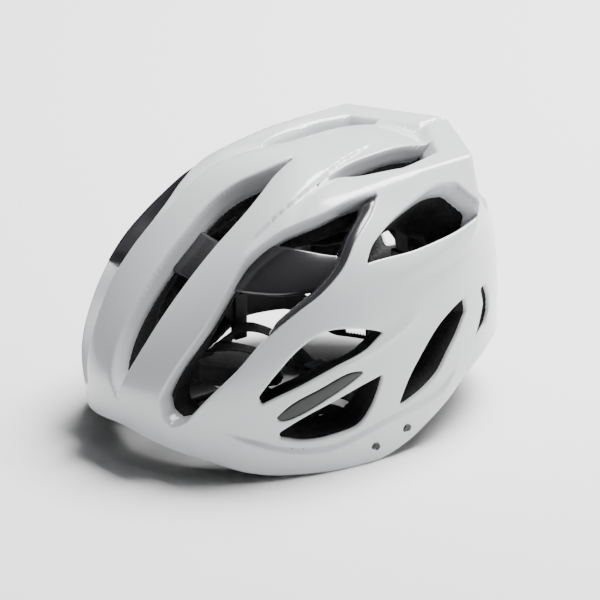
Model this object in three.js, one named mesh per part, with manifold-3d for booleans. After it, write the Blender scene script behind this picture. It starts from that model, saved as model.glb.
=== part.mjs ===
// Cycling helmet: in-mould shell on a foam liner, with fit ring, straps and buckle.
// Millimetres, +Z up, +X the rider's left, -Y the front. The origin is under the middle of the
// helmet, on the surface that it rests on.
import * as THREE from 'three';
import { mergeVertices } from 'three/addons/utils/BufferGeometryUtils.js';
import Module from 'manifold-3d';

const wasm = await Module();
wasm.setup();

// ---- driving dimensions ----
const HALF_WIDTH = 105;
const FRONT_REACH = 149;
const REAR_REACH = 130;
const CROWN_RISE = 116;
const SKIRT_DROP = 230;
const CENTRE = new THREE.Vector3(0, (FRONT_REACH - REAR_REACH) / 2, 49);
const PLAN_POWER = 2.25;

const TAIL_CORNER = new THREE.Vector2(60.7, 98.7);
const TAIL_APEX_Y = 130.6;
const TAIL_RISE = 112;
const SHOULDER_TILT = new THREE.Vector2(0.76, 0.65);

const SKIN = 2.0;
const GAP = 0.4;
const CAVITY = { halfWidth: 79, front: 113.5, rear: 96.5, rise: 86 };
const LEAF_THICKNESS = 1.5;
const BRIDGE_DEPTH = 11;
const BRIDGE_THICKNESS = 3;
const INSERT_DEPTH = 15;
const PAD_THICKNESS = 6;
const PAD_CLEARANCE = 2;

const RING_CENTRE_Y = 20;
const BAND_RADIUS = 73.4;
const BAND_THICKNESS = 1.6;
const DIAL_HEIGHT = 17;
const PINION_RADIUS = 4.2;
const RACK_HEIGHT = 3.5;
const BAND_HALF_HEIGHT = 8;
const KNOB_RADIUS = 11.5;
const KNOB_THICKNESS = 9;

const WEB_WIDTH = 15;
const WEB_THICKNESS = 1.2;
const LOCK_LENGTH = 24;

// Plates bent round the fit ring, by angle from the rear: their facet step and their ends.
const PLATE_STEP = 5;
const RACK_END = -12;
const RACK_START = 33;
const BAND_END = 100;
const TEMPLE_LIFT = 19;
const HEIGHT_TRAVEL = 12;

// The solids are laid out from the dome's centre, then moved so that the origin is mid-length.
const MID_LENGTH = 1.95;

// Height of the rim above the table, by bearing from the front.
const RIM = [[0, 22], [20, 14], [40, 3], [60, 0], [78, 0], [90, 7], [100, 17], [115, 32], [135, 43],
  [155, 40], [180, 32]];
const BEARINGS = [0, 9, 20, 30, 40, 50, 60, 69, 78, 90, 100, 115, 127, 135, 145, 153, 163, 172, 180];
const POLARS = [0, 14, 27, 36, 43, 48, 54, 61, 72, 86, 100, 116];

// Openings on the left half as [bearing, polar angle from the crown], in degrees.
const SIDE_OPENINGS = {
  shoulder: [[15, 94.5], [14, 90], [16, 84], [19, 77], [22, 70], [25, 60], [29, 49], [40, 40],
    [60, 34], [79, 30.5], [98, 31], [87, 36], [74, 43], [66, 51], [57, 58], [48, 64], [39, 72],
    [33, 80], [26, 88], [20, 94.5]],
  crown: [[80, 16.5], [120, 15.5], [148, 23], [160, 32], [164, 39], [151, 38], [137, 32], [121, 26],
    [101, 21]],
  flank: [[76, 50.5], [81, 45.5], [94, 40.5], [113, 38.5], [128, 40.5], [134, 44], [134, 54.5],
    [126, 53.5], [115, 52], [98, 50.5]],
  temple: [[79, 72], [66, 69], [57, 69.5], [49, 74.5], [44, 80], [38.5, 87.5], [39.5, 89.5],
    [50, 85], [62, 80], [72, 76.5]],
  cheek: [[78.5, 86.5], [77, 91], [74, 97], [69, 102], [58, 103], [50, 102], [44, 100], [44, 98.5],
    [51, 95], [61, 91.5], [72, 88]],
  rear_slant: [[111, 58.5], [119, 60], [118, 76], [113, 82], [103, 92], [96, 97], [87, 100],
    [90, 92], [96, 84], [104, 77], [110, 72]],
  rear_slit: [[128, 72], [134, 70], [137, 78], [133, 87], [124, 91], [127, 83]],
  exhaust: [[152, 70], [168, 68], [170, 82], [156, 86]],
};
const LEAF = [[71, 83.5], [66, 83], [56, 86.5], [47, 90.5], [43, 94], [45, 95], [51, 93.5],
  [61, 89], [68, 85.5]];
const FRONT_OPENING = [[0, 93.5], [2.3, 88], [4.5, 80], [6.2, 70], [8.5, 56], [10.5, 46], [13, 38],
  [15, 31], [15.5, 23], [12, 14], [0, 3]];
const TAIL_OPENING = [[180, 51], [163, 49.5], [146, 47.5], [146, 58.5], [162, 60], [180, 60.5]];
const INSERT_EDGE = [[94, 32.5], [87, 36], [74, 43], [66, 51], [57, 58], [48, 64], [41, 70]];
const ANCHORS = { front: [75, 110], rear: [88, 107.5] };

const finish = (color, roughness) => (
  new THREE.MeshStandardMaterial({ color, roughness, metalness: 0 }));
const WHITE_GLOSS = finish(0xe9ebee, 0.16);
const BLACK_FOAM = finish(0x151515, 0.85);
const SMOKE_GLOSS = finish(0x3a3a3e, 0.2);
const LEAF_GLOSS = finish(0x4c5452, 0.25);
const BLACK_PLASTIC = finish(0x1b1b1c, 0.45);
const GREY_PLASTIC = finish(0x55585c, 0.4);
const PAD_CLOTH = finish(0x222326, 0.95);
const WEBBING = finish(0x18181a, 0.8);

// ---- dome geometry ----
const radians = THREE.MathUtils.degToRad;
const smooth = (x, a, b) => THREE.MathUtils.smoothstep(x, a, b);

function blendMax(a, b, width) {
  const h = THREE.MathUtils.clamp(0.5 + (0.5 * (a - b)) / width, 0, 1);
  return b * (1 - h) + a * h + width * h * (1 - h);
}

function blendMin(a, b, width) {
  return -blendMax(-a, -b, width);
}

function interpolate(table, x) {
  const last = table.length - 1;
  for (let i = 0; i < last; i += 1) {
    const [x0, y0] = table[i];
    const [x1, y1] = table[i + 1];
    if (x <= x1) return THREE.MathUtils.lerp(y0, y1, Math.max(0, (x - x0) / (x1 - x0)));
  }
  return table[last][1];
}

function heading(bearing, polar) {
  const b = radians(bearing);
  const p = radians(polar);
  return new THREE.Vector3(Math.sin(p) * Math.sin(b), -Math.sin(p) * Math.cos(b), Math.cos(p));
}

function superRadius(d, halfWidth, reach, rise, power) {
  const plan = Math.abs(d.x / halfWidth) ** PLAN_POWER + Math.abs(d.y / reach) ** PLAN_POWER;
  return (plan ** (power / PLAN_POWER) + Math.abs(d.z / rise) ** power) ** (-1 / power);
}

function bearingOf(d) {
  return Math.abs(THREE.MathUtils.radToDeg(Math.atan2(d.x, -d.y)));
}

function domeRadius(d) {
  const b = bearingOf(d);
  const power = 1.42 + 1.18 * smooth(b, 0, 75) + 1.2 * smooth(b, 100, 165);
  return superRadius(d, HALF_WIDTH, d.y < 0 ? FRONT_REACH : REAR_REACH,
    d.z > 0 ? CROWN_RISE : SKIRT_DROP, power);
}

// The flat roof whose outer edges are the two arms and the pointed tail.
function roofRadius(d) {
  const x = Math.abs(d.x);
  const shoulder = SHOULDER_TILT.x * 60.5 + SHOULDER_TILT.y * TAIL_RISE;
  const tailRun = new THREE.Vector2(TAIL_APEX_Y - TAIL_CORNER.y, TAIL_CORNER.x).normalize();
  const tailReach = tailRun.y * (TAIL_APEX_Y - CENTRE.y);
  const top = TAIL_RISE / Math.max(d.z, 1e-6);
  const side = shoulder / Math.max(SHOULDER_TILT.x * x + SHOULDER_TILT.y * d.z, 1e-6);
  const rear = tailReach / Math.max(tailRun.x * x + tailRun.y * d.y, 1e-6);
  return blendMin(blendMin(top, side, 2), rear, 2);
}

// Half width of the valley between the arms, along the helmet.
const VALLEY = [[-14, 34], [2, 37.5], [52, 50], [84, 42], [111, 0]];

function outerRadius(d) {
  const dome = domeRadius(d);
  const roof = roofRadius(d);
  const y = d.y * roof + CENTRE.y;
  const polar = THREE.MathUtils.radToDeg(Math.acos(d.z));
  const beyondValley = smooth(Math.abs(d.x) * roof - interpolate(VALLEY, y), -1.5, 1.5);
  const gate = beyondValley * smooth(y, -35, 45) * (1 - smooth(polar, 51, 60));
  return dome + (blendMax(dome, roof, 3) - dome) * gate;
}

function cavityRadius(d) {
  const power = 1.85 + 0.35 * smooth(bearingOf(d), 0, 60);
  return superRadius(d, CAVITY.halfWidth, d.y < 0 ? CAVITY.front : CAVITY.rear,
    d.z > 0 ? CAVITY.rise : SKIRT_DROP, power);
}

const onRay = (d, radius) => d.clone().multiplyScalar(radius).add(CENTRE);

// ---- solids ----
const FLAT_DEPTH = { depth: 1, bevelEnabled: false };

function toSolid(geometry) {
  const bare = geometry.clone();
  bare.deleteAttribute('normal');
  bare.deleteAttribute('uv');
  const merged = mergeVertices(bare, 1e-4);
  const index = merged.index.array;
  const tris = [];
  for (let i = 0; i < index.length; i += 3) {
    const [a, b, c] = [index[i], index[i + 1], index[i + 2]];
    if (a !== b && b !== c && c !== a) tris.push(a, b, c);
  }
  const build = (triVerts) => new wasm.Manifold(new wasm.Mesh({
    numProp: 3, vertProperties: new Float32Array(merged.attributes.position.array), triVerts,
  }));
  const solid = build(new Uint32Array(tris));
  return solid.volume() > 0 ? solid : build(new Uint32Array(tris).reverse());
}

function toGeometry(solid) {
  const mesh = solid.getMesh();
  const geometry = new THREE.BufferGeometry();
  const corners = new Float32Array(mesh.vertProperties);
  geometry.setAttribute('position', new THREE.BufferAttribute(corners, 3));
  geometry.setIndex(new THREE.BufferAttribute(new Uint32Array(mesh.triVerts), 1));
  return geometry;
}

function moveVertices(geometry, place) {
  const position = geometry.attributes.position;
  const v = new THREE.Vector3();
  for (let i = 0; i < position.count; i += 1) {
    const p = place(v.fromBufferAttribute(position, i).clone(), i);
    position.setXYZ(i, p.x, p.y, p.z);
  }
  return geometry;
}

function mirrored(solid) {
  return solid.mirror([1, 0, 0]);
}

const STATIONS = [...BEARINGS.slice(0, -1), ...BEARINGS.slice(1).reverse().map((b) => -b)];

// A closed ball: a lathed profile whose stations and radii follow the dome, pointed underneath.
function ball(radius) {
  const rows = [...POLARS, 180];
  const lathe = new THREE.LatheGeometry(rows.map((p) => new THREE.Vector2(p, 1)), STATIONS.length);
  return toSolid(moveVertices(lathe, (v, i) => {
    const polar = rows[i % rows.length];
    const d = heading(STATIONS[Math.floor(i / rows.length) % STATIONS.length], polar);
    return polar === 180 ? CENTRE.clone().setZ(-90) : onRay(d, radius(d));
  }));
}

// The region below the rim, whose top face is level across the wall at every bearing.
function belowRim() {
  const section = [[0, -120], [190, -120], [190, 0], [45, 0], [45, -30], [0, -30]];
  const profile = section.map(([r, z]) => new THREE.Vector2(r, z));
  const lathe = new THREE.LatheGeometry(profile, STATIONS.length);
  return toSolid(moveVertices(lathe, (v, i) => {
    const [radius, z] = section[i % section.length];
    const bearing = STATIONS[Math.floor(i / section.length) % STATIONS.length];
    const d = heading(bearing, 90);
    const top = interpolate(RIM, Math.abs(bearing));
    return new THREE.Vector3(d.x * radius, CENTRE.y + d.y * radius, z < 0 ? z : top);
  }));
}

const toChart = ([b, p]) => new THREE.Vector2(p * Math.sin(radians(b)), -p * Math.cos(radians(b)));
const fromChart = (v) => [THREE.MathUtils.radToDeg(Math.atan2(v.x, -v.y)), v.length()];

// Draws a closed outline in by an amount in degrees of arc; the outline may run either way.
function inset(outline, amount) {
  const flat = outline.map(toChart);
  const turn = Math.sign(THREE.ShapeUtils.area(flat));
  const normal = (from, to) => new THREE.Vector2(from.y - to.y, to.x - from.x).normalize();
  return flat.map((v, i) => {
    const n0 = normal(flat.at(i - 1), v);
    const n1 = normal(v, flat[(i + 1) % flat.length]);
    const miter = n0.clone().add(n1).divideScalar(1 + n0.dot(n1));
    return fromChart(v.clone().addScaledVector(miter, turn * amount));
  });
}

// An outline of [bearing, polar] points pushed along its rays between two radius rules.
function plug(outline, inner, outer) {
  const prism = new THREE.ExtrudeGeometry(new THREE.Shape(outline.map(toChart)), FLAT_DEPTH);
  return toSolid(moveVertices(prism, (v) => {
    const d = heading(...fromChart(new THREE.Vector2(v.x, v.y)));
    return onRay(d, v.z > 0.5 ? outer(d) : inner(d));
  }));
}

// A block bent onto the dome: bearing and polar limits, and two radius rules.
function patch(bearings, polars, counts, inner, outer) {
  const block = new THREE.BoxGeometry(1, 1, 1, counts[0], counts[1], 1);
  return moveVertices(block, (v) => {
    const bearing = THREE.MathUtils.lerp(bearings[0], bearings[1], v.x + 0.5);
    const polar = THREE.MathUtils.lerp(polars[0], polars[1], v.y + 0.5);
    const d = heading(bearing, polar);
    return onRay(d, v.z > 0 ? outer(d) : inner(d));
  });
}

const clearOuter = (d) => outerRadius(d) + 30;
const clearInner = () => 45;
const symmetric = (half) => half.concat(half.filter(([b]) => b !== 0 && b !== 180)
  .reverse().map(([b, p]) => [-b, p]));

function openingCutters() {
  const cutters = [plug(symmetric(FRONT_OPENING), clearInner, clearOuter)];
  cutters.push(plug(symmetric(TAIL_OPENING), clearInner, clearOuter));
  for (const outline of Object.values(SIDE_OPENINGS)) {
    const cutter = plug(outline, clearInner, clearOuter);
    cutters.push(cutter, mirrored(cutter));
  }
  return cutters;
}

// The strap anchor plugs run along level rays through the rim.
function anchorFrame([bearing, polar]) {
  const d = heading(bearing, polar);
  const surface = onRay(d, outerRadius(d));
  const inward = new THREE.Vector3(-Math.sin(radians(bearing)), Math.cos(radians(bearing)), 0);
  return { surface, inward };
}

function anchorBarrel(anchor, radius, from, to) {
  const { surface, inward } = anchorFrame(anchor);
  const barrel = new THREE.CylinderGeometry(radius, radius, to - from, 12);
  barrel.applyQuaternion(new THREE.Quaternion().setFromUnitVectors(new THREE.Vector3(0, 1, 0), inward));
  const middle = surface.clone().addScaledVector(inward, (from + to) / 2);
  return barrel.translate(middle.x, middle.y, middle.z);
}

const HOLE_RADIUS = 2.6;
const PLUG_RADIUS = 2.2;
const BARREL_END = 27;

function boreHoles(solid) {
  let bored = solid;
  for (const anchor of Object.values(ANCHORS)) {
    const hole = toSolid(anchorBarrel(anchor, HOLE_RADIUS, -10, BARREL_END + 20));
    bored = bored.subtract(hole).subtract(mirrored(hole));
  }
  return bored;
}

const group = new THREE.Group();

function add(name, shape, material) {
  const solid = shape.isBufferGeometry ? toSolid(shape) : shape;
  const mesh = new THREE.Mesh(toGeometry(solid.translate([0, -MID_LENGTH, 0])), material);
  mesh.name = name;
  group.add(mesh);
  return mesh;
}

function addPair(name, shape, material) {
  const solid = shape.isBufferGeometry ? toSolid(shape) : shape;
  add(`left_${name}`, solid, material);
  add(`right_${name}`, mirrored(solid), material);
}

const box = (x0, x1, y0, y1, z0, z1) => new THREE.BoxGeometry(x1 - x0, y1 - y0, z1 - z0)
  .translate((x0 + x1) / 2, (y0 + y1) / 2, (z0 + z1) / 2);

// ---- shell, liner and trim ----
function addHelmet() {
  const rim = belowRim();
  const openings = openingCutters();
  const leaf = plug(LEAF, (d) => outerRadius(d) - SKIN - 20, clearOuter);
  const wall = (outside, inside) => ball(outside).subtract(ball(inside)).subtract(rim);
  let shell = wall(outerRadius, (d) => outerRadius(d) - SKIN);
  let liner = wall((d) => outerRadius(d) - SKIN - GAP, cavityRadius);
  for (const cutter of openings) {
    shell = shell.subtract(cutter);
    liner = liner.subtract(cutter);
  }
  shell = shell.subtract(leaf).subtract(mirrored(leaf));
  liner = liner.subtract(toSolid(bridge(0.6)));
  for (const stud of [guideStud(HOLE_RADIUS), guideStud(HOLE_RADIUS, true), hangerStud(3.4)]) {
    liner = liner.subtract(stud);
  }
  add('outer_shell', boreHoles(shell), WHITE_GLOSS);
  add('eps_liner', boreHoles(liner), BLACK_FOAM);
  add('front_bridge', bridge(0), SMOKE_GLOSS);
  addPair('leaf_inlay', leafInlay(), LEAF_GLOSS);
  addPair('shoulder_insert', shoulderInsert(), SMOKE_GLOSS);
}

function bridge(extra) {
  const grow = extra * 1.2;
  return patch([-52 - grow, 52 + grow], [47 - grow, 57 + grow], [12, 2],
    (d) => outerRadius(d) - BRIDGE_DEPTH - BRIDGE_THICKNESS - extra,
    (d) => outerRadius(d) - BRIDGE_DEPTH + extra);
}

function leafInlay() {
  const top = (d) => outerRadius(d) - 0.3;
  const sheet = ball(top).subtract(ball((d) => top(d) - LEAF_THICKNESS));
  return sheet.intersect(plug(inset(LEAF, 0.35), clearInner, clearOuter));
}

// A gloss panel that lines the outer wall of the shoulder opening.
function shoulderInsert() {
  const back = INSERT_EDGE.map((point) => shift(point, 0.25));
  const face = INSERT_EDGE.map((point) => shift(point, 1.4)).reverse();
  return plug(back.concat(face), (d) => outerRadius(d) - INSERT_DEPTH, (d) => outerRadius(d) - 1.5);
}

// Moves a point in across the shoulder opening by degrees of arc.
function shift(point, amount) {
  const across = new THREE.Vector2(-0.8, -0.6).multiplyScalar(amount);
  return fromChart(toChart(point).add(across));
}

function addPads() {
  const face = (d) => cavityRadius(d) - PAD_CLEARANCE;
  const under = (d) => cavityRadius(d) - PAD_CLEARANCE - PAD_THICKNESS;
  add('brow_pad', patch([-46, 46], [82, 92], [8, 1], under, face), PAD_CLOTH);
  addPair('crown_pad', patch([24, 150], [20, 32], [5, 1], under, face), PAD_CLOTH);
  addPair('side_pad', patch([72, 108], [58, 70], [3, 1], under, face), PAD_CLOTH);
}

function addAnchors() {
  for (const [name, anchor] of Object.entries(ANCHORS)) {
    addPair(`${name}_anchor_plug`, anchorBarrel(anchor, PLUG_RADIUS, 0.6, BARREL_END), BLACK_PLASTIC);
  }
}

// ---- fit ring ----
function onRing(angle, radius, z) {
  const a = radians(angle);
  return new THREE.Vector3(radius * Math.sin(a), RING_CENTRE_Y + radius * Math.cos(a), z);
}

// A plate bent round the ring between two angles, with its lower and upper edges by angle.
function ringPlate([from, to], low, high, r0, r1) {
  const count = Math.max(2, Math.round((to - from) / PLATE_STEP));
  const block = new THREE.BoxGeometry(1, 1, 1, count, 1, 1);
  return toSolid(moveVertices(block, (v) => {
    const angle = THREE.MathUtils.lerp(from, to, v.x + 0.5);
    return onRing(angle, v.z > 0 ? r1 : r0, v.y > 0 ? high(angle) : low(angle));
  }));
}

const bandLift = (angle) => TEMPLE_LIFT * smooth(angle, 36, 66);

// The left band carries its rack on the upper side of the pinion, the right band on the lower side.
function band(upper) {
  const side = upper ? 1 : -1;
  const outer = (a) => DIAL_HEIGHT + side * BAND_HALF_HEIGHT + bandLift(a);
  const inner = (a) => DIAL_HEIGHT - side * BAND_HALF_HEIGHT + bandLift(a);
  const rackInner = () => DIAL_HEIGHT + side * (BAND_HALF_HEIGHT - RACK_HEIGHT);
  const outside = BAND_RADIUS + BAND_THICKNESS;
  const main = ringPlate([RACK_START, BAND_END], inner, outer, BAND_RADIUS, outside);
  return main.add(ringPlate([RACK_END, RACK_START + 1], rackInner, outer, BAND_RADIUS, outside));
}

function addFitRing() {
  const outside = BAND_RADIUS + BAND_THICKNESS;
  const level = (z) => () => z;
  add('left_band', band(true), BLACK_PLASTIC);
  add('right_band', mirrored(band(false)), BLACK_PLASTIC);
  const shaft = new THREE.CylinderGeometry(2.6, 2.6, 30, 12);
  shaft.translate(0, RING_CENTRE_Y + 78, DIAL_HEIGHT);
  const inner = ringPlate([-22, 22], level(3), level(32), BAND_RADIUS - 1.9, BAND_RADIUS - 0.4);
  const outer = ringPlate([-10, 10], level(0), level(34), outside + 0.4, outside + 4);
  add('cradle_inner_cover', inner, BLACK_PLASTIC);
  add('cradle_outer_cover', outer.subtract(toSolid(shaft)), BLACK_PLASTIC);
  const pad = ringPlate([3, 21], level(5), level(30), BAND_RADIUS - 6.5, BAND_RADIUS - 2.2);
  addPair('nape_pad', pad, PAD_CLOTH);
  addDial();
  addHanger();
  addPair('temple_guide', templeGuide(), BLACK_PLASTIC);
}

function addDial() {
  const pinionY = RING_CENTRE_Y + BAND_RADIUS + 0.1;
  const teeth = 10;
  const points = Array.from({ length: 2 * teeth }, (_, i) => {
    const radius = i % 2 ? PINION_RADIUS : PINION_RADIUS - 1.1;
    const angle = (Math.PI * i) / teeth;
    return new THREE.Vector2(radius * Math.cos(angle), radius * Math.sin(angle));
  });
  const wheel = new THREE.ExtrudeGeometry(new THREE.Shape(points),
    { depth: BAND_THICKNESS, bevelEnabled: false });
  wheel.rotateX(Math.PI / 2).translate(0, pinionY + BAND_THICKNESS, DIAL_HEIGHT);
  const stem = new THREE.CylinderGeometry(2.2, 2.2, 6.5, 12).translate(0, pinionY + 4.25, DIAL_HEIGHT);
  add('dial_pinion', toSolid(wheel).add(toSolid(stem)), GREY_PLASTIC);
  const knobStart = pinionY + 7.9;
  const profile = [[0, 0], [KNOB_RADIUS - 1, 0], [KNOB_RADIUS, 1.2], [KNOB_RADIUS, KNOB_THICKNESS - 2],
    [KNOB_RADIUS - 2, KNOB_THICKNESS], [0, KNOB_THICKNESS]];
  const knob = new THREE.LatheGeometry(profile.map(([r, h]) => new THREE.Vector2(r, h)), 20);
  add('dial_knob', toSolid(knob.translate(0, knobStart, DIAL_HEIGHT)), GREY_PLASTIC);
}

const HANGER_Y = RING_CENTRE_Y + BAND_RADIUS;

function hangerStud(radius) {
  const stud = new THREE.CylinderGeometry(radius, radius, 14, 12);
  return toSolid(stud.translate(0, HANGER_Y + 10, 72));
}

function addHanger() {
  const foot = DIAL_HEIGHT + BAND_HALF_HEIGHT + 0.6;
  const strip = box(-6, 6, HANGER_Y, HANGER_Y + BAND_THICKNESS, foot, 92);
  add('height_hanger', strip, BLACK_PLASTIC);
  const body = toSolid(box(-9, 9, HANGER_Y - 1.6, HANGER_Y + 3.6, 66, 78));
  const slot = toSolid(box(-6.4, 6.4, HANGER_Y - 0.35, HANGER_Y + BAND_THICKNESS + 0.35, 60, 84));
  add('height_guide', body.subtract(slot).add(hangerStud(3)), BLACK_PLASTIC);
}

function guideStud(radius, right = false) {
  const stud = new THREE.CylinderGeometry(radius, radius, 12, 12).rotateZ(Math.PI / 2);
  const solid = toSolid(stud.translate(82, RING_CENTRE_Y, DIAL_HEIGHT + TEMPLE_LIFT));
  return right ? mirrored(solid) : solid;
}

// The guide's slot is long enough for the band to come down with the cradle.
function templeGuide() {
  const top = DIAL_HEIGHT + TEMPLE_LIFT + BAND_HALF_HEIGHT + 0.4;
  const foot = DIAL_HEIGHT + TEMPLE_LIFT - BAND_HALF_HEIGHT - 0.4 - HEIGHT_TRAVEL;
  const sides = [RING_CENTRE_Y - 5, RING_CENTRE_Y + 5];
  const body = toSolid(box(71.6, 77.2, ...sides, foot - 1.6, top + 1.6));
  const slot = ringPlate([75, 115], () => foot, () => top,
    BAND_RADIUS - 0.5, BAND_RADIUS + BAND_THICKNESS + 0.5);
  return body.subtract(slot).add(guideStud(2.2));
}

// ---- straps ----
// A flat web: a thin block whose stations follow hand-placed points; its width stays level.
function web(points, width = WEB_WIDTH, thickness = WEB_THICKNESS) {
  const centres = points.map(([x, y, z]) => new THREE.Vector3(x, y, z));
  const last = centres.length - 1;
  const frames = centres.map((c, i) => {
    const run = centres[Math.min(i + 1, last)].clone().sub(centres[Math.max(i - 1, 0)]).normalize();
    const across = new THREE.Vector3(0, 0, 1).cross(run).normalize();
    return { c, across, up: run.clone().cross(across) };
  });
  const block = new THREE.BoxGeometry(1, 1, 1, last, 1, 1);
  return moveVertices(block, (v) => {
    const { c, across, up } = frames[Math.round((v.x + 0.5) * last)];
    return c.clone().addScaledVector(across, v.y * width).addScaledVector(up, v.z * thickness);
  });
}

// Both halves lie folded in under the helmet: the left one forward, the right one back.
const LEFT_RUN_Y = -45;
const RIGHT_RUN_Y = 40;
const LOCK_X = 14;
const RUN_END_X = -27;
const LOW_WEB = 2.4;
const HIGH_WEB = 3.9;

const LEFT_FRONT_WEB = [[73.6, -11.1, 9.2], [69.5, -11.5, 14.5], [62, -16, 19], [54, -24, 18.5], [46, -32, 13],
  [39, -38.5, 6.2], [31, -43.5, 2.6], [26, -45, LOW_WEB], [RUN_END_X, -45, LOW_WEB]];
const LEFT_REAR_WEB = [[75.2, 6, 12.8], [69, 5, 17], [63, 0, 22.5], [56, -9, 26.5], [49, -20, 22.5],
  [43, -31, 15.5], [36, -39.5, 9], [31, -43.8, 5.2], [27, -45, HIGH_WEB], [RUN_END_X, -45, HIGH_WEB]];
const RIGHT_FRONT_WEB = [[-73.6, -11.1, 9.2], [-69.5, -11.5, 14.5], [-63, -9.5, 19], [-57, -1, 19.5],
  [-51, 12, 15], [-44, 26, 8], [-36, 36.5, 3], [-31, 39.5, 2.4], [-26, 40, LOW_WEB],
  [-RUN_END_X, 40, LOW_WEB]];
const RIGHT_REAR_WEB = [[-75.2, 6, 12.8], [-70, 6, 19], [-64, 8.5, 26.5], [-57, 16, 28.3],
  [-51, 25, 24.5], [-44.5, 32.5, 18], [-38, 37.6, 11.5], [-32, 39.5, 6], [-27, 40, HIGH_WEB],
  [-RUN_END_X, 40, HIGH_WEB]];

// Cam lock: a slotted body that both webs run through, and the lever on its top.
function addCamLock(side, x, y) {
  const half = LOCK_LENGTH / 2;
  const body = toSolid(box(x - half, x + half, y - 11, y + 11, 0.2, 6.2));
  const slot = toSolid(box(x - half - 5, x + half + 5, y - 8, y + 8, 1.5, 4.9));
  add(`${side}_cam_lock_body`, body.subtract(slot), BLACK_PLASTIC);
  const lever = box(x - half + 1, x + half - 1, y - 7, y + 7, 6.6, 8.6);
  add(`${side}_cam_lock_lever`, lever, GREY_PLASTIC);
}

const PRONG_ROOT_X = 45;
const BUCKLE_END_X = 58;

function addBuckle() {
  const socket = toSolid(box(-58, RUN_END_X - 1, LEFT_RUN_Y - 13, LEFT_RUN_Y + 13, 0.2, 8.2));
  const pocket = toSolid(box(-60, -38, LEFT_RUN_Y - 10.5, LEFT_RUN_Y + 10.5, 2, 6.6));
  const entry = toSolid(box(-35, RUN_END_X + 4, LEFT_RUN_Y - 8, LEFT_RUN_Y + 8, 1.4, 5));
  add('buckle_socket', socket.subtract(pocket).subtract(entry), BLACK_PLASTIC);
  const middle = RIGHT_RUN_Y;
  const tongueBody = toSolid(box(1 - RUN_END_X, PRONG_ROOT_X - 1, middle - 12, middle + 12, 0.2, 7.8));
  const tongue = toSolid(box(40, BUCKLE_END_X - 2, middle - 2, middle + 2, 2.6, 6));
  const tail = toSolid(box(-RUN_END_X - 4, 36, middle - 8, middle + 8, 1.4, 7));
  add('buckle_tongue', tongueBody.subtract(tail).add(tongue), BLACK_PLASTIC);
  for (const [side, sign] of [['inner', -1], ['outer', 1]]) {
    const shape = new THREE.Shape([[0, 3.2], [BUCKLE_END_X - PRONG_ROOT_X, 5.2], [10, 9.2], [7, 9.6],
      [6, 7.4], [0, 6.6]].map(([u, w]) => new THREE.Vector2(u, sign * w)));
    const prong = new THREE.ExtrudeGeometry(shape, { depth: 3.6, bevelEnabled: false });
    add(`buckle_${side}_prong`, toSolid(prong.translate(PRONG_ROOT_X, RIGHT_RUN_Y, 2.4)), BLACK_PLASTIC);
  }
}

function addStraps() {
  add('left_front_web', web(LEFT_FRONT_WEB), WEBBING);
  add('left_rear_web', web(LEFT_REAR_WEB), WEBBING);
  add('right_front_web', web(RIGHT_FRONT_WEB), WEBBING);
  add('right_rear_web', web(RIGHT_REAR_WEB), WEBBING);
  addCamLock('left', LOCK_X, LEFT_RUN_Y);
  addCamLock('right', -LOCK_X, RIGHT_RUN_Y);
  addBuckle();
  add('strap_tail', web([[26, RIGHT_RUN_Y, 5.4], [12, RIGHT_RUN_Y, 5.4], [3, RIGHT_RUN_Y, 5.4]]), WEBBING);
  const ring = toSolid(box(10, 14, RIGHT_RUN_Y - 9.6, RIGHT_RUN_Y + 9.6, 0.4, 7.6));
  const through = toSolid(box(8, 16, RIGHT_RUN_Y - 8, RIGHT_RUN_Y + 8, 1.5, 6.4));
  add('tail_keeper', ring.subtract(through), BLACK_PLASTIC);
}

addHelmet();
addPads();
addAnchors();
addFitRing();
addStraps();

export default group;
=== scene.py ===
"""Looks of the cycling helmet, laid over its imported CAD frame.

Metres, +Z up, +X to the rider's left, -Y to the front. The dome rules work in millimetres, in
the same layout as the part's source, and every mesh is put into metres as it is built.
"""
import logging
import math
from dataclasses import dataclass
from enum import Enum
from typing import Sequence

import bmesh
import bpy
import numpy as np
from mathutils import Matrix, Vector, geometry, kdtree


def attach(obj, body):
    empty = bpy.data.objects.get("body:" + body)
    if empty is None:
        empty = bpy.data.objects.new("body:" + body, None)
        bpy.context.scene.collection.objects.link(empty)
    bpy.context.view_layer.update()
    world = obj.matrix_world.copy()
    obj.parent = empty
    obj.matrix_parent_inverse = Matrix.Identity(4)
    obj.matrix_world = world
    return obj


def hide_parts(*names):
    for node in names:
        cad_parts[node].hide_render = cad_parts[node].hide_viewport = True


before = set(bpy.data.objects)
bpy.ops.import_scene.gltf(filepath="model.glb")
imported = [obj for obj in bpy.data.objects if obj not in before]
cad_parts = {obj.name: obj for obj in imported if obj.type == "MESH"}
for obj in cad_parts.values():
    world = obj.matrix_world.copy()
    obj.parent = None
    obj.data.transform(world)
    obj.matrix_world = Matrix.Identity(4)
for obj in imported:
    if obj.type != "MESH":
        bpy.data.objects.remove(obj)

LOG = logging.getLogger("helmet")
MM = 0.001
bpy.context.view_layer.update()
Array = np.ndarray
Chart = Sequence[tuple[float, float]]


class Side(Enum):
    """The rider's side that a piece sits on; the value turns +X to it."""

    LEFT = 1
    RIGHT = -1

    @property
    def word(self) -> str:
        """The side as the node names spell it."""
        return self.name.lower()


# ---- dome rules ----
def smooth(x: Array, low: float, high: float) -> Array:
    """A soft step from 0 at low to 1 at high."""
    t = np.clip((x - low) / (high - low), 0, 1)
    return t * t * (3 - 2 * t)


def fade(run: Array, start: float, stop: float) -> Array:
    """Rises to 1 over the run up to start and falls back to 0 from stop on."""
    return smooth(run, 0.0, start) * (1 - smooth(run, stop, 1.0))


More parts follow.
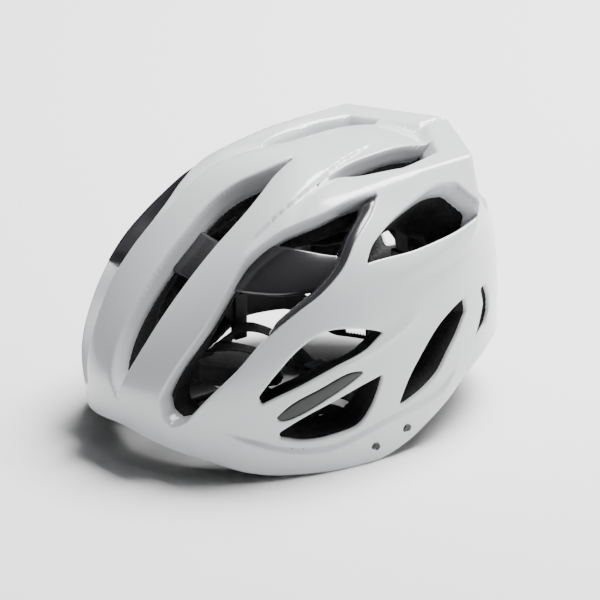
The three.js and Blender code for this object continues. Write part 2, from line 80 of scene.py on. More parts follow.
def blend_max(a: Array, b: Array, width: float) -> Array:
    """The larger of two fields, with the corner between them rounded over a width."""
    h = np.clip(0.5 + 0.5 * (a - b) / width, 0, 1)
    return b * (1 - h) + a * h + width * h * (1 - h)


def unit(v: Array) -> Array:
    """Rows of a field of vectors at length one."""
    return v / np.maximum(np.linalg.norm(v, axis=-1, keepdims=True), 1e-12)


@dataclass(frozen=True)
class Dome:
    """The helmet's outer and inner surfaces: radii along rays from one centre, in millimetres."""

    half_width: float = 105.0
    front_reach: float = 149.0
    rear_reach: float = 130.0
    crown_rise: float = 116.0
    skirt_drop: float = 230.0
    centre_z: float = 49.0
    plan_power: float = 2.25
    tail_corner: tuple[float, float] = (60.7, 98.7)
    tail_apex: float = 130.6
    tail_rise: float = 112.0
    mid_length: float = 1.95
    cavity: tuple[float, float, float, float] = (79.0, 113.5, 96.5, 86.0)
    valley: Chart = ((-14, 34), (2, 37.5), (52, 50), (84, 42), (111, 0))
    rim: Chart = ((0, 22), (20, 14), (40, 3), (60, 0), (78, 0), (90, 7), (100, 17), (115, 32),
                  (135, 43), (155, 40), (180, 32))

    @property
    def centre(self) -> Array:
        """The centre that the rays leave from."""
        return np.array([0.0, (self.front_reach - self.rear_reach) / 2, self.centre_z])

    def rays(self, chart: Array) -> Array:
        """Unit directions of chart points, which are polar angle laid out by bearing."""
        polar = np.hypot(chart[:, 0], chart[:, 1])
        around = chart / np.maximum(polar, 1e-9)[:, None]
        p = np.radians(polar)
        return np.column_stack([np.sin(p)[:, None] * around, np.cos(p)])

    def chart_of(self, points: Array) -> Array:
        """Chart points of places in millimetres."""
        d = unit(points - self.centre)
        polar = np.degrees(np.arccos(np.clip(d[:, 2], -1, 1)))
        return unit(d[:, :2]) * polar[:, None]

    def super_radius(self, d: Array, width: float, reach: Array, rise: Array,
                     power: Array) -> Array:
        """Radius of a rounded box whose plan and profile follow power curves."""
        x, y, z = np.abs(d[:, 0] / width), np.abs(d[:, 1] / reach), np.abs(d[:, 2] / rise)
        plan = x ** self.plan_power + y ** self.plan_power
        return (plan ** (power / self.plan_power) + z ** power) ** (-1 / power)

    def bearing(self, d: Array) -> Array:
        """Angle from the front, 0 to 180 degrees on either side."""
        return np.degrees(np.abs(np.arctan2(d[:, 0], -d[:, 1])))

    def bowl(self, d: Array) -> Array:
        """Radius of the plain rounded dome."""
        b = self.bearing(d)
        power = 1.42 + 1.18 * smooth(b, 0, 75) + 1.2 * smooth(b, 100, 165)
        reach = np.where(d[:, 1] < 0, self.front_reach, self.rear_reach)
        rise = np.where(d[:, 2] > 0, self.crown_rise, self.skirt_drop)
        return self.super_radius(d, self.half_width, reach, rise, power)

    def roof(self, d: Array) -> Array:
        """Radius of the flat roof that ends in the two arms and the pointed tail."""
        x = np.hypot(d[:, 0], 0.012)
        run = unit(np.array([self.tail_apex - self.tail_corner[1], self.tail_corner[0]]))
        top = self.tail_rise / np.maximum(d[:, 2], 1e-6)
        side = (0.76 * 60.5 + 0.65 * self.tail_rise) / np.maximum(0.76 * x + 0.65 * d[:, 2], 1e-6)
        reach = run[1] * (self.tail_apex - self.centre[1])
        rear = reach / np.maximum(run[0] * x + run[1] * d[:, 1], 1e-6)
        return self._least(top, side, rear)

    @staticmethod
    def _least(top: Array, side: Array, rear: Array) -> Array:
        """The nearest of three planes, with their edges just rounded."""
        return -blend_max(blend_max(-top, -side, 1.6), -rear, 1.6)

    def outer(self, chart: Array) -> Array:
        """Outer radius at chart points, before the moulded relief."""
        d = self.rays(chart)
        bowl = self.bowl(d)
        roof = self.roof(d)
        y = d[:, 1] * roof + self.centre[1]
        rows = np.array(self.valley)
        half = np.interp(y, rows[:, 0], rows[:, 1])
        polar = np.degrees(np.arccos(np.clip(d[:, 2], -1, 1)))
        ahead, behind = (np.interp(y + k, rows[:, 0], rows[:, 1]) for k in (1, -1))
        lean = (ahead - behind) / 2
        beyond = (np.abs(d[:, 0]) * roof - half) / np.hypot(1, lean)
        gate = smooth(beyond, -2.6, 2.6) * smooth(y, -35, 45)
        gate = gate * (1 - smooth(polar, 51, 60))
        return bowl + (blend_max(bowl, roof, 2.4) - bowl) * gate

    def inner(self, chart: Array) -> Array:
        """Radius of the head cavity."""
        d = self.rays(chart)
        width, front, rear, rise = self.cavity
        power = 1.85 + 0.35 * smooth(self.bearing(d), 0, 60)
        reach = np.where(d[:, 1] < 0, front, rear)
        height = np.where(d[:, 2] > 0, rise, self.skirt_drop)
        return self.super_radius(d, width, reach, height, power)

    def place(self, chart: Array, radius: Array) -> Array:
        """Places in millimetres of chart points at given radii."""
        return self.centre + self.rays(chart) * radius[:, None]

    def spread(self, chart: Array) -> Array:
        """Places on the plain bowl, which distances along the skin are measured on."""
        return self.place(chart, self.bowl(self.rays(chart)))

    def rim_loop(self, count: int = 300) -> Array:
        """Chart points where the outer surface meets the rim's height, round the helmet."""
        around = np.linspace(-180, 180, count, endpoint=False)
        table = np.array(self.rim)
        fine = np.interp(np.abs(np.linspace(-190, 190, 761)), table[:, 0], table[:, 1])
        kernel = np.exp(-0.5 * (np.arange(-16, 17) / 6.0) ** 2)
        soft = np.convolve(fine, kernel / kernel.sum(), "same")
        height = np.interp(around, np.linspace(-190, 190, 761), soft)
        low, high = np.full(count, 50.0), np.full(count, 128.0)
        b = np.radians(around)
        turn = np.column_stack([np.sin(b), -np.cos(b)])
        for _ in range(40):
            mid = (low + high) / 2
            chart = turn * mid[:, None]
            z = self.place(chart, self.outer(chart))[:, 2]
            above = z > height
            low, high = np.where(above, mid, low), np.where(above, high, mid)
        return turn * low[:, None]

    def metres(self, points: Array) -> Array:
        """Places in the frame's metres, with the origin at mid-length."""
        return (points - np.array([0.0, self.mid_length, 0.0])) * MM


DOME = Dome()


def to_chart(points: Chart, side: Side = Side.LEFT) -> Array:
    """Chart points of [bearing, polar] pairs, mirrored for the right side."""
    table = np.array(points, float)
    b = np.radians(table[:, 0])
    return np.column_stack([side.value * table[:, 1] * np.sin(b), -table[:, 1] * np.cos(b)])


def measure(points: Array, closed: bool = True) -> Array:
    """Running length along a line of points."""
    ends = np.roll(points, -1, axis=0) if closed else points[1:]
    starts = points if closed else points[:-1]
    return np.concatenate([[0.0], np.cumsum(np.linalg.norm(ends - starts, axis=1))])


def resample(points: Array, spacing: float, closed: bool = True) -> Array:
    """The same line with its points spread evenly."""
    run = measure(points, closed)
    line = np.vstack([points, points[:1]]) if closed else points
    count = max(6, int(round(run[-1] / spacing)))
    stops = np.linspace(0, run[-1], count, endpoint=not closed)
    return np.column_stack([np.interp(stops, run, line[:, k]) for k in range(line.shape[1])])


def spline(points: Array, closed: bool = True, steps: int = 14) -> Array:
    """A centripetal curve through given points."""
    if closed:
        ring = np.vstack([points[-1:], points, points[:2]])
    else:
        ring = np.vstack([2 * points[0] - points[1], points, 2 * points[-1] - points[-2]])
    out = []
    for i in range(len(ring) - 3):
        p0, p1, p2, p3 = ring[i:i + 4]
        k1 = max(np.linalg.norm(p1 - p0) ** 0.5, 1e-6)
        k2 = max(np.linalg.norm(p2 - p1) ** 0.5, 1e-6)
        k3 = max(np.linalg.norm(p3 - p2) ** 0.5, 1e-6)
        m1 = p2 - p1 + k2 * ((p1 - p0) / k1 - (p2 - p0) / (k1 + k2))
        m2 = p2 - p1 + k2 * ((p3 - p2) / k3 - (p3 - p1) / (k2 + k3))
        for t in np.linspace(0, 1, steps, endpoint=False):
            out.append((2 * t**3 - 3 * t**2 + 1) * p1 + (t**3 - 2 * t**2 + t) * m1
                       + (3 * t**2 - 2 * t**3) * p2 + (t**3 - t**2) * m2)
    if not closed:
        out.append(points[-1])
    return np.array(out)


def open_curve(points: Chart, side: Side, spacing: float = 1.0) -> Array:
    """Evenly spaced chart points on a curve through [bearing, polar] pairs."""
    return resample(spline(to_chart(points, side), closed=False), spacing, closed=False)


FINE_STEP = 0.25


def soften(loop: Array, reach: float) -> Array:
    """A closed, evenly spaced loop with its corners rounded over a reach, in chart degrees."""
    fine = resample(loop, FINE_STEP)
    count = int(4 * reach / FINE_STEP)
    kernel = np.exp(-0.5 * (np.arange(-count, count + 1) * FINE_STEP / reach) ** 2)
    kernel /= kernel.sum()
    padded = np.vstack([fine[-count:], fine, fine[:count]])
    return np.column_stack([np.convolve(padded[:, k], kernel, "valid") for k in range(2)])


def crisp(points: Array, sharp: float = 38.0) -> Array:
    """A closed line of points, with two more beside each sharp corner to hold it."""
    out = []
    for before, here, after in zip(np.roll(points, 1, axis=0), points, np.roll(points, -1, axis=0)):
        a, b = here - before, after - here
        turn = abs(math.degrees(math.atan2(a[0] * b[1] - a[1] * b[0], a @ b)))
        if turn > sharp:
            reach = min(0.8, 0.3 * np.linalg.norm(a)), min(0.8, 0.3 * np.linalg.norm(b))
            out += [here - unit(a) * reach[0], here, here + unit(b) * reach[1]]
        else:
            out.append(here)
    return np.array(out)


def inside(points: Array, loop: Array) -> Array:
    """Which chart points lie inside a closed loop."""
    hit = np.zeros(len(points), bool)
    near = np.all((points > loop.min(0)) & (points < loop.max(0)), axis=1)
    x, y = points[near, 0], points[near, 1]
    odd = np.zeros(len(x), bool)
    for a, b in zip(loop, np.roll(loop, -1, axis=0)):
        cross = (a[1] > y) != (b[1] > y)
        if a[1] != b[1]:
            odd ^= cross & (x < (b[0] - a[0]) * (y - a[1]) / (b[1] - a[1]) + a[0])
    hit[near] = odd
    return hit


def shifted(loop: Array, amount: float) -> Array:
    """A closed chart loop moved out over the surface by millimetres; a minus moves it in."""
    place = DOME.spread(loop)
    along = np.roll(place, -1, axis=0) - np.roll(place, 1, axis=0)
    across = unit(np.cross(along, DOME.rays(loop)))
    area = np.sum(loop[:, 0] * np.roll(loop[:, 1], -1) - loop[:, 1] * np.roll(loop[:, 0], -1))
    return DOME.chart_of(place + across * amount * np.sign(area))


# ---- moulded relief ----
@dataclass(frozen=True)
class Line:
    """A line on the surface, and the field of distances to it."""

    points: Chart
    side: Side = Side.LEFT

    def path(self) -> Array:
        """The line's places on the dome, in millimetres."""
        chart = open_curve(self.points, self.side)
        return DOME.place(chart, DOME.outer(chart))

    def field(self, places: Array, rays: Array) -> tuple[Array, Array, Array]:
        """Distance, signed distance (plus is the line's left, from outside) and run, 0 to 1."""
        path = self.path()
        best = np.full(len(places), 1e9)
        signed = np.zeros(len(places))
        run = np.zeros(len(places))
        for i, (a, b) in enumerate(zip(path[:-1], path[1:])):
            ab = b - a
            t = np.clip((places - a) @ ab / (ab @ ab), 0, 1)
            gap = places - (a + t[:, None] * ab)
            size = np.linalg.norm(gap, axis=1)
            closer = size < best
            left = np.sum(np.cross(np.broadcast_to(ab, rays.shape), -rays) * gap, axis=1)
            best = np.where(closer, size, best)
            signed = np.where(closer, np.sign(left) * self.side.value * size, signed)
            run = np.where(closer, (i + t) / (len(path) - 1), run)
        return best, signed, run


RIB_GROOVE = ((26, 49), (33, 37), (43, 29), (67, 18), (120, 13), (170, 27))
FLANK_CREASE = ((98, 69), (86, 73), (78, 76), (72, 78), (59, 83))
RIM_STEP = ((28, 96), (35, 99), (47, 104), (58, 106), (69, 105), (88, 102), (104, 99), (116, 91))
CROWN_SCOOP = ((80, 17), (52, 27), (45, 40))


@dataclass(frozen=True)
class Relief:
    """Low moulded steps, creases and scoops on the shell, in millimetres above the dome."""

    groove_depth: float = 2.2
    crease_rise: float = 1.7
    step_rise: float = 2.2
    scoop_depth: float = 3.0

    def height(self, chart: Array) -> Array:
        """Height of the relief at chart points."""
        rays = DOME.rays(chart)
        places = DOME.place(chart, DOME.outer(chart))
        total = np.zeros(len(chart))
        for side in Side:
            gap, signed, run = Line(RIB_GROOVE, side).field(places, rays)
            ends = fade(run, 0.15, 0.8)
            low = smooth(-signed, -0.5, 0.7) * np.exp(-np.maximum(-signed, 0) / 9.0)
            total -= self.groove_depth * low * ends * (gap < 40)
            gap, _, run = Line(FLANK_CREASE, side).field(places, rays)
            ends = fade(run, 0.2, 0.75)
            total += self.crease_rise * np.exp(-np.hypot(gap, 0.5) / 3.5) * ends
            gap, signed, run = Line(RIM_STEP, side).field(places, rays)
            ends = fade(run, 0.12, 0.86)
            total += self.step_rise * smooth(-signed, -1.0, 1.0) * ends * (gap < 45)
            gap, _, run = Line(CROWN_SCOOP, side).field(places, rays)
            total -= self.scoop_depth * (1 - run) * np.exp(-((gap / 4.5) ** 2))
        return total


RELIEF = Relief()


@dataclass(frozen=True)
class Opening:
    """A vent: its outline as [bearing, polar], its white wall and its edge's radius."""

    name: str
    outline: Chart
    wall: float = 14.0
    edge: float = 1.4
    corner: float = 0.45
    central: bool = False
    through: bool = True

    def loops(self) -> list[Array]:
        """The vent's closed chart loops, one on each side or one across the middle."""
        if self.central:
            half = to_chart(self.outline)
            off_axis = half[np.abs(half[:, 0]) > 1e-6]
            mirrored = off_axis[::-1] * np.array([-1, 1])
            return [soften(spline(crisp(np.vstack([half, mirrored]))), self.corner)]
        return [soften(spline(crisp(to_chart(self.outline, side))), self.corner)
                for side in Side]


LEAF = ((71, 83.5), (66, 83), (56, 86.5), (47, 90.5), (43, 94), (45, 95), (51, 93.5), (61, 89),
        (68, 85.5))
OPENINGS = (
    Opening("front", ((0, 93.5), (2.3, 88), (4.5, 80), (6.2, 70), (8.5, 56), (10.5, 46), (13, 38),
                      (15, 31), (15.5, 23), (12, 14), (0, 3)), central=True),
    Opening("shoulder", ((17, 96.2), (14.6, 94.2), (14, 90), (16, 84), (19, 77), (22, 70),
                         (25, 60), (29, 49), (40, 40), (60, 34), (79, 30.5), (98, 31), (87, 36),
                         (74, 43), (66, 51), (57, 58), (48, 64), (39, 72), (33, 80), (26, 88),
                         (20.4, 94.6))),
    Opening("crown", ((80, 16.5), (120, 15.5), (148, 23), (160, 32), (164, 39), (151, 38),
                      (137, 32), (121, 26), (101, 21))),
    Opening("flank", ((76, 50.5), (81, 45.5), (94, 40.5), (113, 38.5), (128, 40.5), (134, 44),
                      (134, 54.5), (126, 53.5), (115, 52), (98, 50.5))),
    Opening("temple", ((79, 72), (66, 69), (57, 69.5), (49, 74.5), (44, 80), (38.5, 87.5),
                       (39.5, 89.5), (50, 85), (62, 80), (72, 76.5)), wall=3.0),
    Opening("cheek", ((78.5, 86.5), (77, 91), (74, 97), (69, 102), (58, 103), (50, 102),
                      (44, 100), (44, 98.5), (51, 95), (61, 91.5), (72, 88)), wall=3.0),
    Opening("rear_slant", ((117.9, 71.6), (118.2, 76), (113, 82), (108.8, 86.2), (103.4, 92.4),
                           (95.8, 96.8), (87.3, 99.6), (85.5, 99.3), (89.5, 91.4), (95.6, 83.4),
                           (103, 76.6), (110.4, 73.2)), wall=2.6, edge=1.0, corner=0.4),
    Opening("rear_slit", ((127.5, 73), (131, 72.5), (133.5, 78), (133.3, 82), (130.7, 85),
                          (122.5, 88.2), (126, 83), (128.8, 78)), wall=2.6, edge=1.0, corner=0.4),
    Opening("exhaust", ((152, 70), (168, 68), (170, 82), (156, 86)),
            wall=5.0, edge=1.8, corner=2.0),
    Opening("tail", ((180, 51), (163, 49.5), (146, 47.5), (146, 58.5), (162, 60), (180, 60.5)),
            wall=9.0, edge=1.2, central=True),
    Opening("leaf", LEAF, wall=2.2, edge=0.9, corner=0.7, through=False),
)


def search_tree(places: Array) -> kdtree.KDTree:
    """A tree that finds the nearest of some places."""
    tree = kdtree.KDTree(len(places))
    for number, place in enumerate(places):
        tree.insert(place, number)
    tree.balance()
    return tree


def distances(tree: kdtree.KDTree, chart: Array) -> Array:
    """How far chart points lie from a tree's places, in millimetres."""
    return np.array([tree.find(place)[2] for place in DOME.spread(chart)])


def triangulate(points: Array, edges: list[tuple[int, int]], kind: int) -> tuple[Array, Array]:
    """Lays triangles over chart points.

    Args:
        points: Chart points; the first ones are the corners that the edges name.
        edges: Pairs of corners that have to be sides of triangles.
        kind: 0 keeps every triangle, 1 keeps those inside the edges.

    Returns:
        The chart points and the triangles' corners, anticlockwise.
    """
    found = geometry.delaunay_2d_cdt([Vector(p) for p in points], edges, [], kind, 1e-5, False)
    chart = np.array([tuple(v) for v in found[0]])
    tris = np.array(found[2])
    a, b, c = chart[tris[:, 0]], chart[tris[:, 1]], chart[tris[:, 2]]
    area = (b - a)[:, 0] * (c - a)[:, 1] - (b - a)[:, 1] * (c - a)[:, 0]
    tris[area < 0] = tris[area < 0][:, ::-1]
    return chart, tris


def open_sides(tris: Array) -> list[tuple[int, int]]:
    """The sides of triangles that no other triangle shares."""
    sides = {(int(t[i]), int(t[(i + 1) % 3])) for t in tris for i in range(3)}
    return [(a, b) for a, b in sides if (b, a) not in sides]


@dataclass
class Skin:
    """A sheet of triangles over the chart, with the vents left out of it."""

    chart: Array
    triangles: list[tuple[int, int, int]]
    rims: list[tuple[int, list[int]]]


# Half the grid's width in chart degrees, and the shares of its step between rows and at the tail.
CHART_REACH = 122
ROW_SHARE = 0.866
TAIL_SHARE = 0.4
# Millimetres: where rows of points follow an edge, how far the even grid keeps off it with and
# without those rows, and the rim's own radius.
EDGE_ROWS = (0.08, 0.3, 0.65, 1.1, 1.7, 2.5)
CLEAR_OF_ROWS = 3.2
CLEAR_OF_EDGE = 1.2
RIM_EDGE = 1.6


def even_grid(step: float) -> Array:
    """Chart points in staggered rows, a step apart."""
    across = np.arange(-CHART_REACH, CHART_REACH, step)
    rows = np.arange(-CHART_REACH, CHART_REACH, step * ROW_SHARE)
    return np.vstack([np.column_stack([across + (i % 2) * step / 2, np.full(len(across), v)])
                      for i, v in enumerate(rows)])


def in_tail(chart: Array) -> Array:
    """Which chart points lie round the tail, where the skin turns most sharply."""
    polar = np.hypot(chart[:, 0], chart[:, 1])
    return (polar > 34) & (polar < 64) & (DOME.bearing(DOME.rays(chart)) > 92)


class SkinCutter:
    """Lays triangles over the dome, up to the rim and round the vents."""

    def __init__(self, openings: Sequence[Opening], spread: float, grow: float = 0.0,
                 fillet: bool = True) -> None:
        """Takes the vents, the mesh spacing in chart degrees and how far to grow each vent."""
        self.spread = spread
        self.openings = [opening for opening in openings for _ in opening.loops()]
        step = spread * 0.5
        self.loops = [resample(shifted(loop, grow), step) for o in openings for loop in o.loops()]
        self.rim = resample(DOME.rim_loop(), step)
        self.fillet = fillet
        self.tree = self._tree()

    def _tree(self) -> kdtree.KDTree:
        """A search tree of fine samples of every vent edge and of the rim."""
        lines = [resample(loop, 0.12) for loop in [*self.loops, self.rim]]
        self.label = np.repeat(np.arange(len(lines)), [len(line) for line in lines])
        return search_tree(np.vstack([DOME.spread(line) for line in lines]))

    def nearest(self, chart: Array) -> tuple[Array, Array]:
        """Distance to the nearest edge in millimetres, and which edge it is."""
        places = DOME.spread(chart)
        found = [self.tree.find(place) for place in places]
        return np.array([f[2] for f in found]), np.array([self.label[f[1]] for f in found])

    def kept(self, chart: Array) -> Array:
        """Which chart points lie on the helmet's skin."""
        keep = inside(chart, self.rim)
        for loop in self.loops:
            keep &= ~inside(chart, loop)
        return keep

    def _field_points(self) -> Array:
        """The even grid of the open skin, finer round the tail, and rows along the creases."""
        coarse, fine = even_grid(self.spread), even_grid(self.spread * TAIL_SHARE)
        parts = [coarse[~in_tail(coarse)], fine[in_tail(fine)]]
        if self.fillet:
            for side in Side:
                for line in (RIB_GROOVE, FLANK_CREASE, RIM_STEP):
                    path = open_curve(line, side)
                    turn = unit(np.gradient(path, axis=0))[:, ::-1] * np.array([-1, 1])
                    parts += [path + turn * k for k in (-1.0, -0.5, 0.0, 0.5, 1.0)]
        return np.vstack(parts)

    def cut(self) -> Skin:
        """Triangulates the skin.

        Returns:
            The chart points, the triangles and each open edge with its number.
        """
        points = [*self.loops, self.rim]
        edges: list[tuple[int, int]] = []
        base = 0
        for loop in points:
            count = len(loop)
            edges += [(base + i, base + (i + 1) % count) for i in range(count)]
            base += count
        loose = self._field_points()
        gap, _ = self.nearest(loose)
        reach = CLEAR_OF_ROWS if self.fillet else CLEAR_OF_EDGE
        loose = loose[(gap > reach) & self.kept(loose)]
        extra = [loose]
        if self.fillet:
            for number, loop in enumerate([*self.loops, self.rim]):
                out = -1.0 if number == len(self.loops) else 1.0
                for k in EDGE_ROWS:
                    ring = shifted(loop, out * k)
                    gap, _ = self.nearest(ring)
                    extra.append(ring[(gap > 0.8 * k) & self.kept(ring)])
        every = np.vstack(points + extra)
        chart, tris = triangulate(every, edges, 0)
        middle = chart[tris].mean(axis=1)
        tris = tris[self.kept(middle)]
        used = np.unique(tris)
        number = np.full(len(chart), -1)
        number[used] = np.arange(len(used))
        chart, tris = chart[used], number[tris]
        return Skin(chart, [tuple(t) for t in tris.tolist()], self._rims(chart, tris))

    def _rims(self, chart: Array, tris: Array) -> list[tuple[int, list[int]]]:
        """Walks the open edges into loops, each with the number of its outline."""
        follow = dict(open_sides(tris))
        rims = []
        while follow:
            start = next(iter(follow))
            loop = [start]
            step = follow.pop(start)
            while step != start and step in follow:
                loop.append(step)
                step = follow.pop(step)
            if len(loop) > 8:
                _, label = self.nearest(chart[loop])
                rims.append((int(np.bincount(label).argmax()), loop))
        return rims

    def drop(self, chart: Array) -> Array:
        """How far the rounded edges fall below the open skin, in millimetres."""
        gap, label = self.nearest(chart)
        edge = np.array([o.edge for o in self.openings] + [RIM_EDGE])[label]
        inset = np.clip(edge - gap, 0, edge)
        return edge - np.sqrt(np.maximum(edge**2 - inset**2, 0))


def build_mesh(name: str, vertices: Array, faces: list[tuple[int, ...]]) -> bpy.types.Object:
    """Makes an object from places in millimetres and faces, shaded smooth.

    Args:
        name: The object's name.
        vertices: Places in millimetres, in the dome's layout.
        faces: Corner numbers, seen from outside in anticlockwise order.

    Returns:
        The new object, linked to the scene.
    """
    mesh = bpy.data.meshes.new(name)
    mesh.from_pydata(DOME.metres(vertices).tolist(), [], faces)
    mesh.shade_smooth()
    piece = bpy.data.objects.new(name, mesh)
    bpy.context.scene.collection.objects.link(piece)
    return piece


def active(piece: bpy.types.Object) -> bpy.types.Object:
    """Makes a piece the one selected and active."""
    bpy.ops.object.select_all(action="DESELECT")
    bpy.context.view_layer.objects.active = piece
    piece.select_set(True)
    return piece


def apply(piece: bpy.types.Object, kind: str, **settings: object) -> None:
    """Adds one modifier with its settings and applies it."""
    active(piece)
    modifier = piece.modifiers.new(kind.title(), kind)
    for key, value in settings.items():
        setattr(modifier, key, value)
    bpy.ops.object.modifier_apply(modifier=modifier.name)


def strip(upper: list[int], lower: list[int]) -> list[tuple[int, ...]]:
    """Faces that join an open edge to the next row under it."""
    count = len(upper)
    return [(upper[(i + 1) % count], upper[i], lower[i], lower[(i + 1) % count])
            for i in range(count)]


@dataclass
class Wrap:
    """The vertices and faces of a skin, as rows are hung from its open edges."""

    vertices: list[Array]
    faces: list[tuple[int, ...]]

    def hang(self, loop: list[int], rows: list[Array]) -> list[int]:
        """Hangs rows of wall from an open edge.

        Args:
            loop: The corner numbers of the edge.
            rows: Places in millimetres of each row, from the edge on.

        Returns:
            The corner numbers of the last row.
        """
        for row in rows:
            total = sum(len(held) for held in self.vertices)
            current = list(range(total, total + len(loop)))
            self.vertices.append(row)
            self.faces += strip(loop, current)
            loop = current
        return loop


@dataclass
class ShellSkin:
    """The white moulded skin, wrapped into its vents and round the rim."""

    thickness: float = 0.9
    spread: float = 1.8
    lip: float = 4.0

    def build(self) -> bpy.types.Object:
        """Makes the skin, for put() to stand in for the CAD shell."""
        cutter = SkinCutter(OPENINGS, self.spread)
        skin = cutter.cut()
        radius = DOME.outer(skin.chart) + RELIEF.height(skin.chart) - cutter.drop(skin.chart)
        top = DOME.place(skin.chart, radius)
        wrap = Wrap([top], list(skin.triangles))
        for number, loop in skin.rims:
            wrap.hang(loop, self._rows(number, cutter, skin.chart[loop], radius[loop], top[loop]))
        piece = build_mesh("shell_skin", np.vstack(wrap.vertices), wrap.faces)
        apply(piece, "SOLIDIFY", thickness=self.thickness * MM, offset=-1.0, use_even_offset=False)
        return piece

    def _rows(self, number: int, cutter: SkinCutter, chart: Array, radius: Array,
              edge: Array) -> list[Array]:
        """Rows of the wall under one open edge, from the skin inwards."""
        if number == len(cutter.loops):
            inward = DOME.centre - edge
            inward[:, 2] = 0
            inward = unit(inward)
            return [edge + inward * k for k in (1.2, 2.6, self.lip)]
        opening = cutter.openings[number]
        rest = opening.wall - opening.edge
        return [DOME.place(chart, radius - rest * k) for k in (0.3, 0.65, 1.0)]


CHANNELS = (((0, 84), (0, 40), (0, 0.1), (180, 40), (180, 66)),
            ((22, 82), (30, 60), (60, 44), (100, 40), (135, 52), (150, 74)),
            ((60, 84), (75, 72), (95, 70), (118, 76)))


@dataclass
class FoamLiner:
    """The black foam body: vent walls, head cavity with air channels, and the rounded foot."""

    spread: float = 2.2
    skin_gap: float = 1.3
    channel_depth: float = 6.5
    channel_half_width: float = 9.5

    def build(self) -> bpy.types.Object:
        """Makes the foam, for put() to stand in for the CAD liner."""
        through = [o for o in OPENINGS if o.through]
        cutter = SkinCutter(through, self.spread, grow=1.2, fillet=False)
        skin = cutter.cut()
        outer = DOME.outer(skin.chart) + RELIEF.height(skin.chart) - self.skin_gap
        gap, _ = cutter.nearest(skin.chart)
        inner = self.cavity(skin.chart) + self._soft_edge(gap)
        top, under = DOME.place(skin.chart, outer), DOME.place(skin.chart, inner)
        count = len(skin.chart)
        inside_out = [tuple(count + v for v in reversed(t)) for t in skin.triangles]
        wrap = Wrap([top, under], list(skin.triangles) + inside_out)
        for number, loop in skin.rims:
            rows = self._rows(number, cutter, skin.chart[loop], outer[loop], inner[loop])
            last = wrap.hang(loop, rows)
            wrap.faces += strip(last, [count + v for v in loop])
        return build_mesh("foam_liner", np.vstack(wrap.vertices), wrap.faces)

    def cavity(self, chart: Array) -> Array:
        """Radius of the head cavity with its air channels."""
        radius = DOME.inner(chart)
        rays, places = DOME.rays(chart), DOME.place(chart, DOME.outer(chart))
        depth = np.zeros(len(chart))
        for points in CHANNELS:
            for side in Side:
                gap, _, run = Line(points, side).field(places, rays)
                ends = fade(run, 0.1, 0.9)
                flat = 1 - smooth(gap, self.channel_half_width * 0.6, self.channel_half_width * 1.4)
                depth = np.maximum(depth, flat * ends)
        return radius + self.channel_depth * depth

    @staticmethod
    def _soft_edge(gap: Array, radius: float = 4.0) -> Array:
        """Rounds the cavity's edges at the vents."""
        inset = np.clip(radius - gap, 0, radius)
        return radius - np.sqrt(np.maximum(radius**2 - inset**2, 0))

    def _rows(self, number: int, cutter: SkinCutter, chart: Array, outer: Array,
              inner: Array) -> list[Array]:
        """Rows between the outer and inner surfaces under one open edge."""
        if number == len(cutter.loops):
            high, low = DOME.place(chart, outer), DOME.place(chart, inner)
            rows = []
            for t, lift in ((0.08, 0.0), (0.3, 0.01), (0.55, 0.05), (0.75, 0.18), (0.9, 0.45)):
                row = high + (low - high) * t
                row[:, 2] = high[:, 2] + (low[:, 2] - high[:, 2]) * lift
                rows.append(row)
            return rows
        wall = cutter.openings[number].wall
        flush = shifted(chart, -1.1)
        deep = np.maximum(outer - wall + self.skin_gap - 0.4, inner + 2.0)
        rows = [DOME.place(chart, deep), DOME.place(flush, deep)]
        for t in (0.25, 0.5, 0.75):
            between = flush + (chart - flush) * t * t
            rows.append(DOME.place(between, deep + (inner - deep) * t))
        return rows


# ---- finishes ----
class Graph:
    """Adds and links the nodes of one shader tree."""

    def __init__(self, tree: bpy.types.NodeTree) -> None:
        """Starts on an empty tree."""
        self.tree = tree
        tree.nodes.clear()

    def add(self, kind: str, settings: dict | None = None, **inputs: object) -> bpy.types.Node:
        """Adds a node; an input is a value or the socket that feeds it."""
        node = self.tree.nodes.new(kind)
        for key, value in (settings or {}).items():
            setattr(node, key, value)
        for key, value in inputs.items():
            number = key[1:]
            socket = node.inputs[int(number) if number.isdigit() else key.replace("_", " ")]
            if isinstance(value, bpy.types.NodeSocket):
                self.tree.links.new(value, socket)
            else:
                socket.default_value = value
        return node

    def math(self, operation: str, a: object, b: object = 0.0) -> bpy.types.NodeSocket:
        """One sum on values."""
        return self.add("ShaderNodeMath", {"operation": operation}, i0=a, i1=b).outputs[0]

    def blend(self, a: object, part: float, b: object, rest: float) -> bpy.types.NodeSocket:
        """The sum of two values, each times its weight."""
        return self.math("ADD", self.math("MULTIPLY", a, part), self.math("MULTIPLY", b, rest))

    def noise(self, place: object, scale: object, detail: float = 2.0) -> bpy.types.NodeSocket:
        """Noise at a scale."""
        node = self.add("ShaderNodeTexNoise", Vector=place, Scale=scale, Detail=detail)
        return node.outputs["Fac"]


def moulded(graph: Graph, scale: object) -> tuple[object, object]:
    """Fine spark texture of a tool over slow unevenness.

    Args:
        graph: The tree to build in.
        scale: Features to the metre.

    Returns:
        The shade, 0 to 1, and the height.
    """
    place = graph.add("ShaderNodeTexCoord").outputs["Object"]
    fine = graph.noise(place, scale, 3.0)
    slow = graph.noise(place, graph.math("MULTIPLY", scale, 0.06))
    shade = graph.blend(fine, 0.35, slow, 0.65)
    return shade, graph.math("ADD", fine, graph.math("MULTIPLY", slow, 1.5))


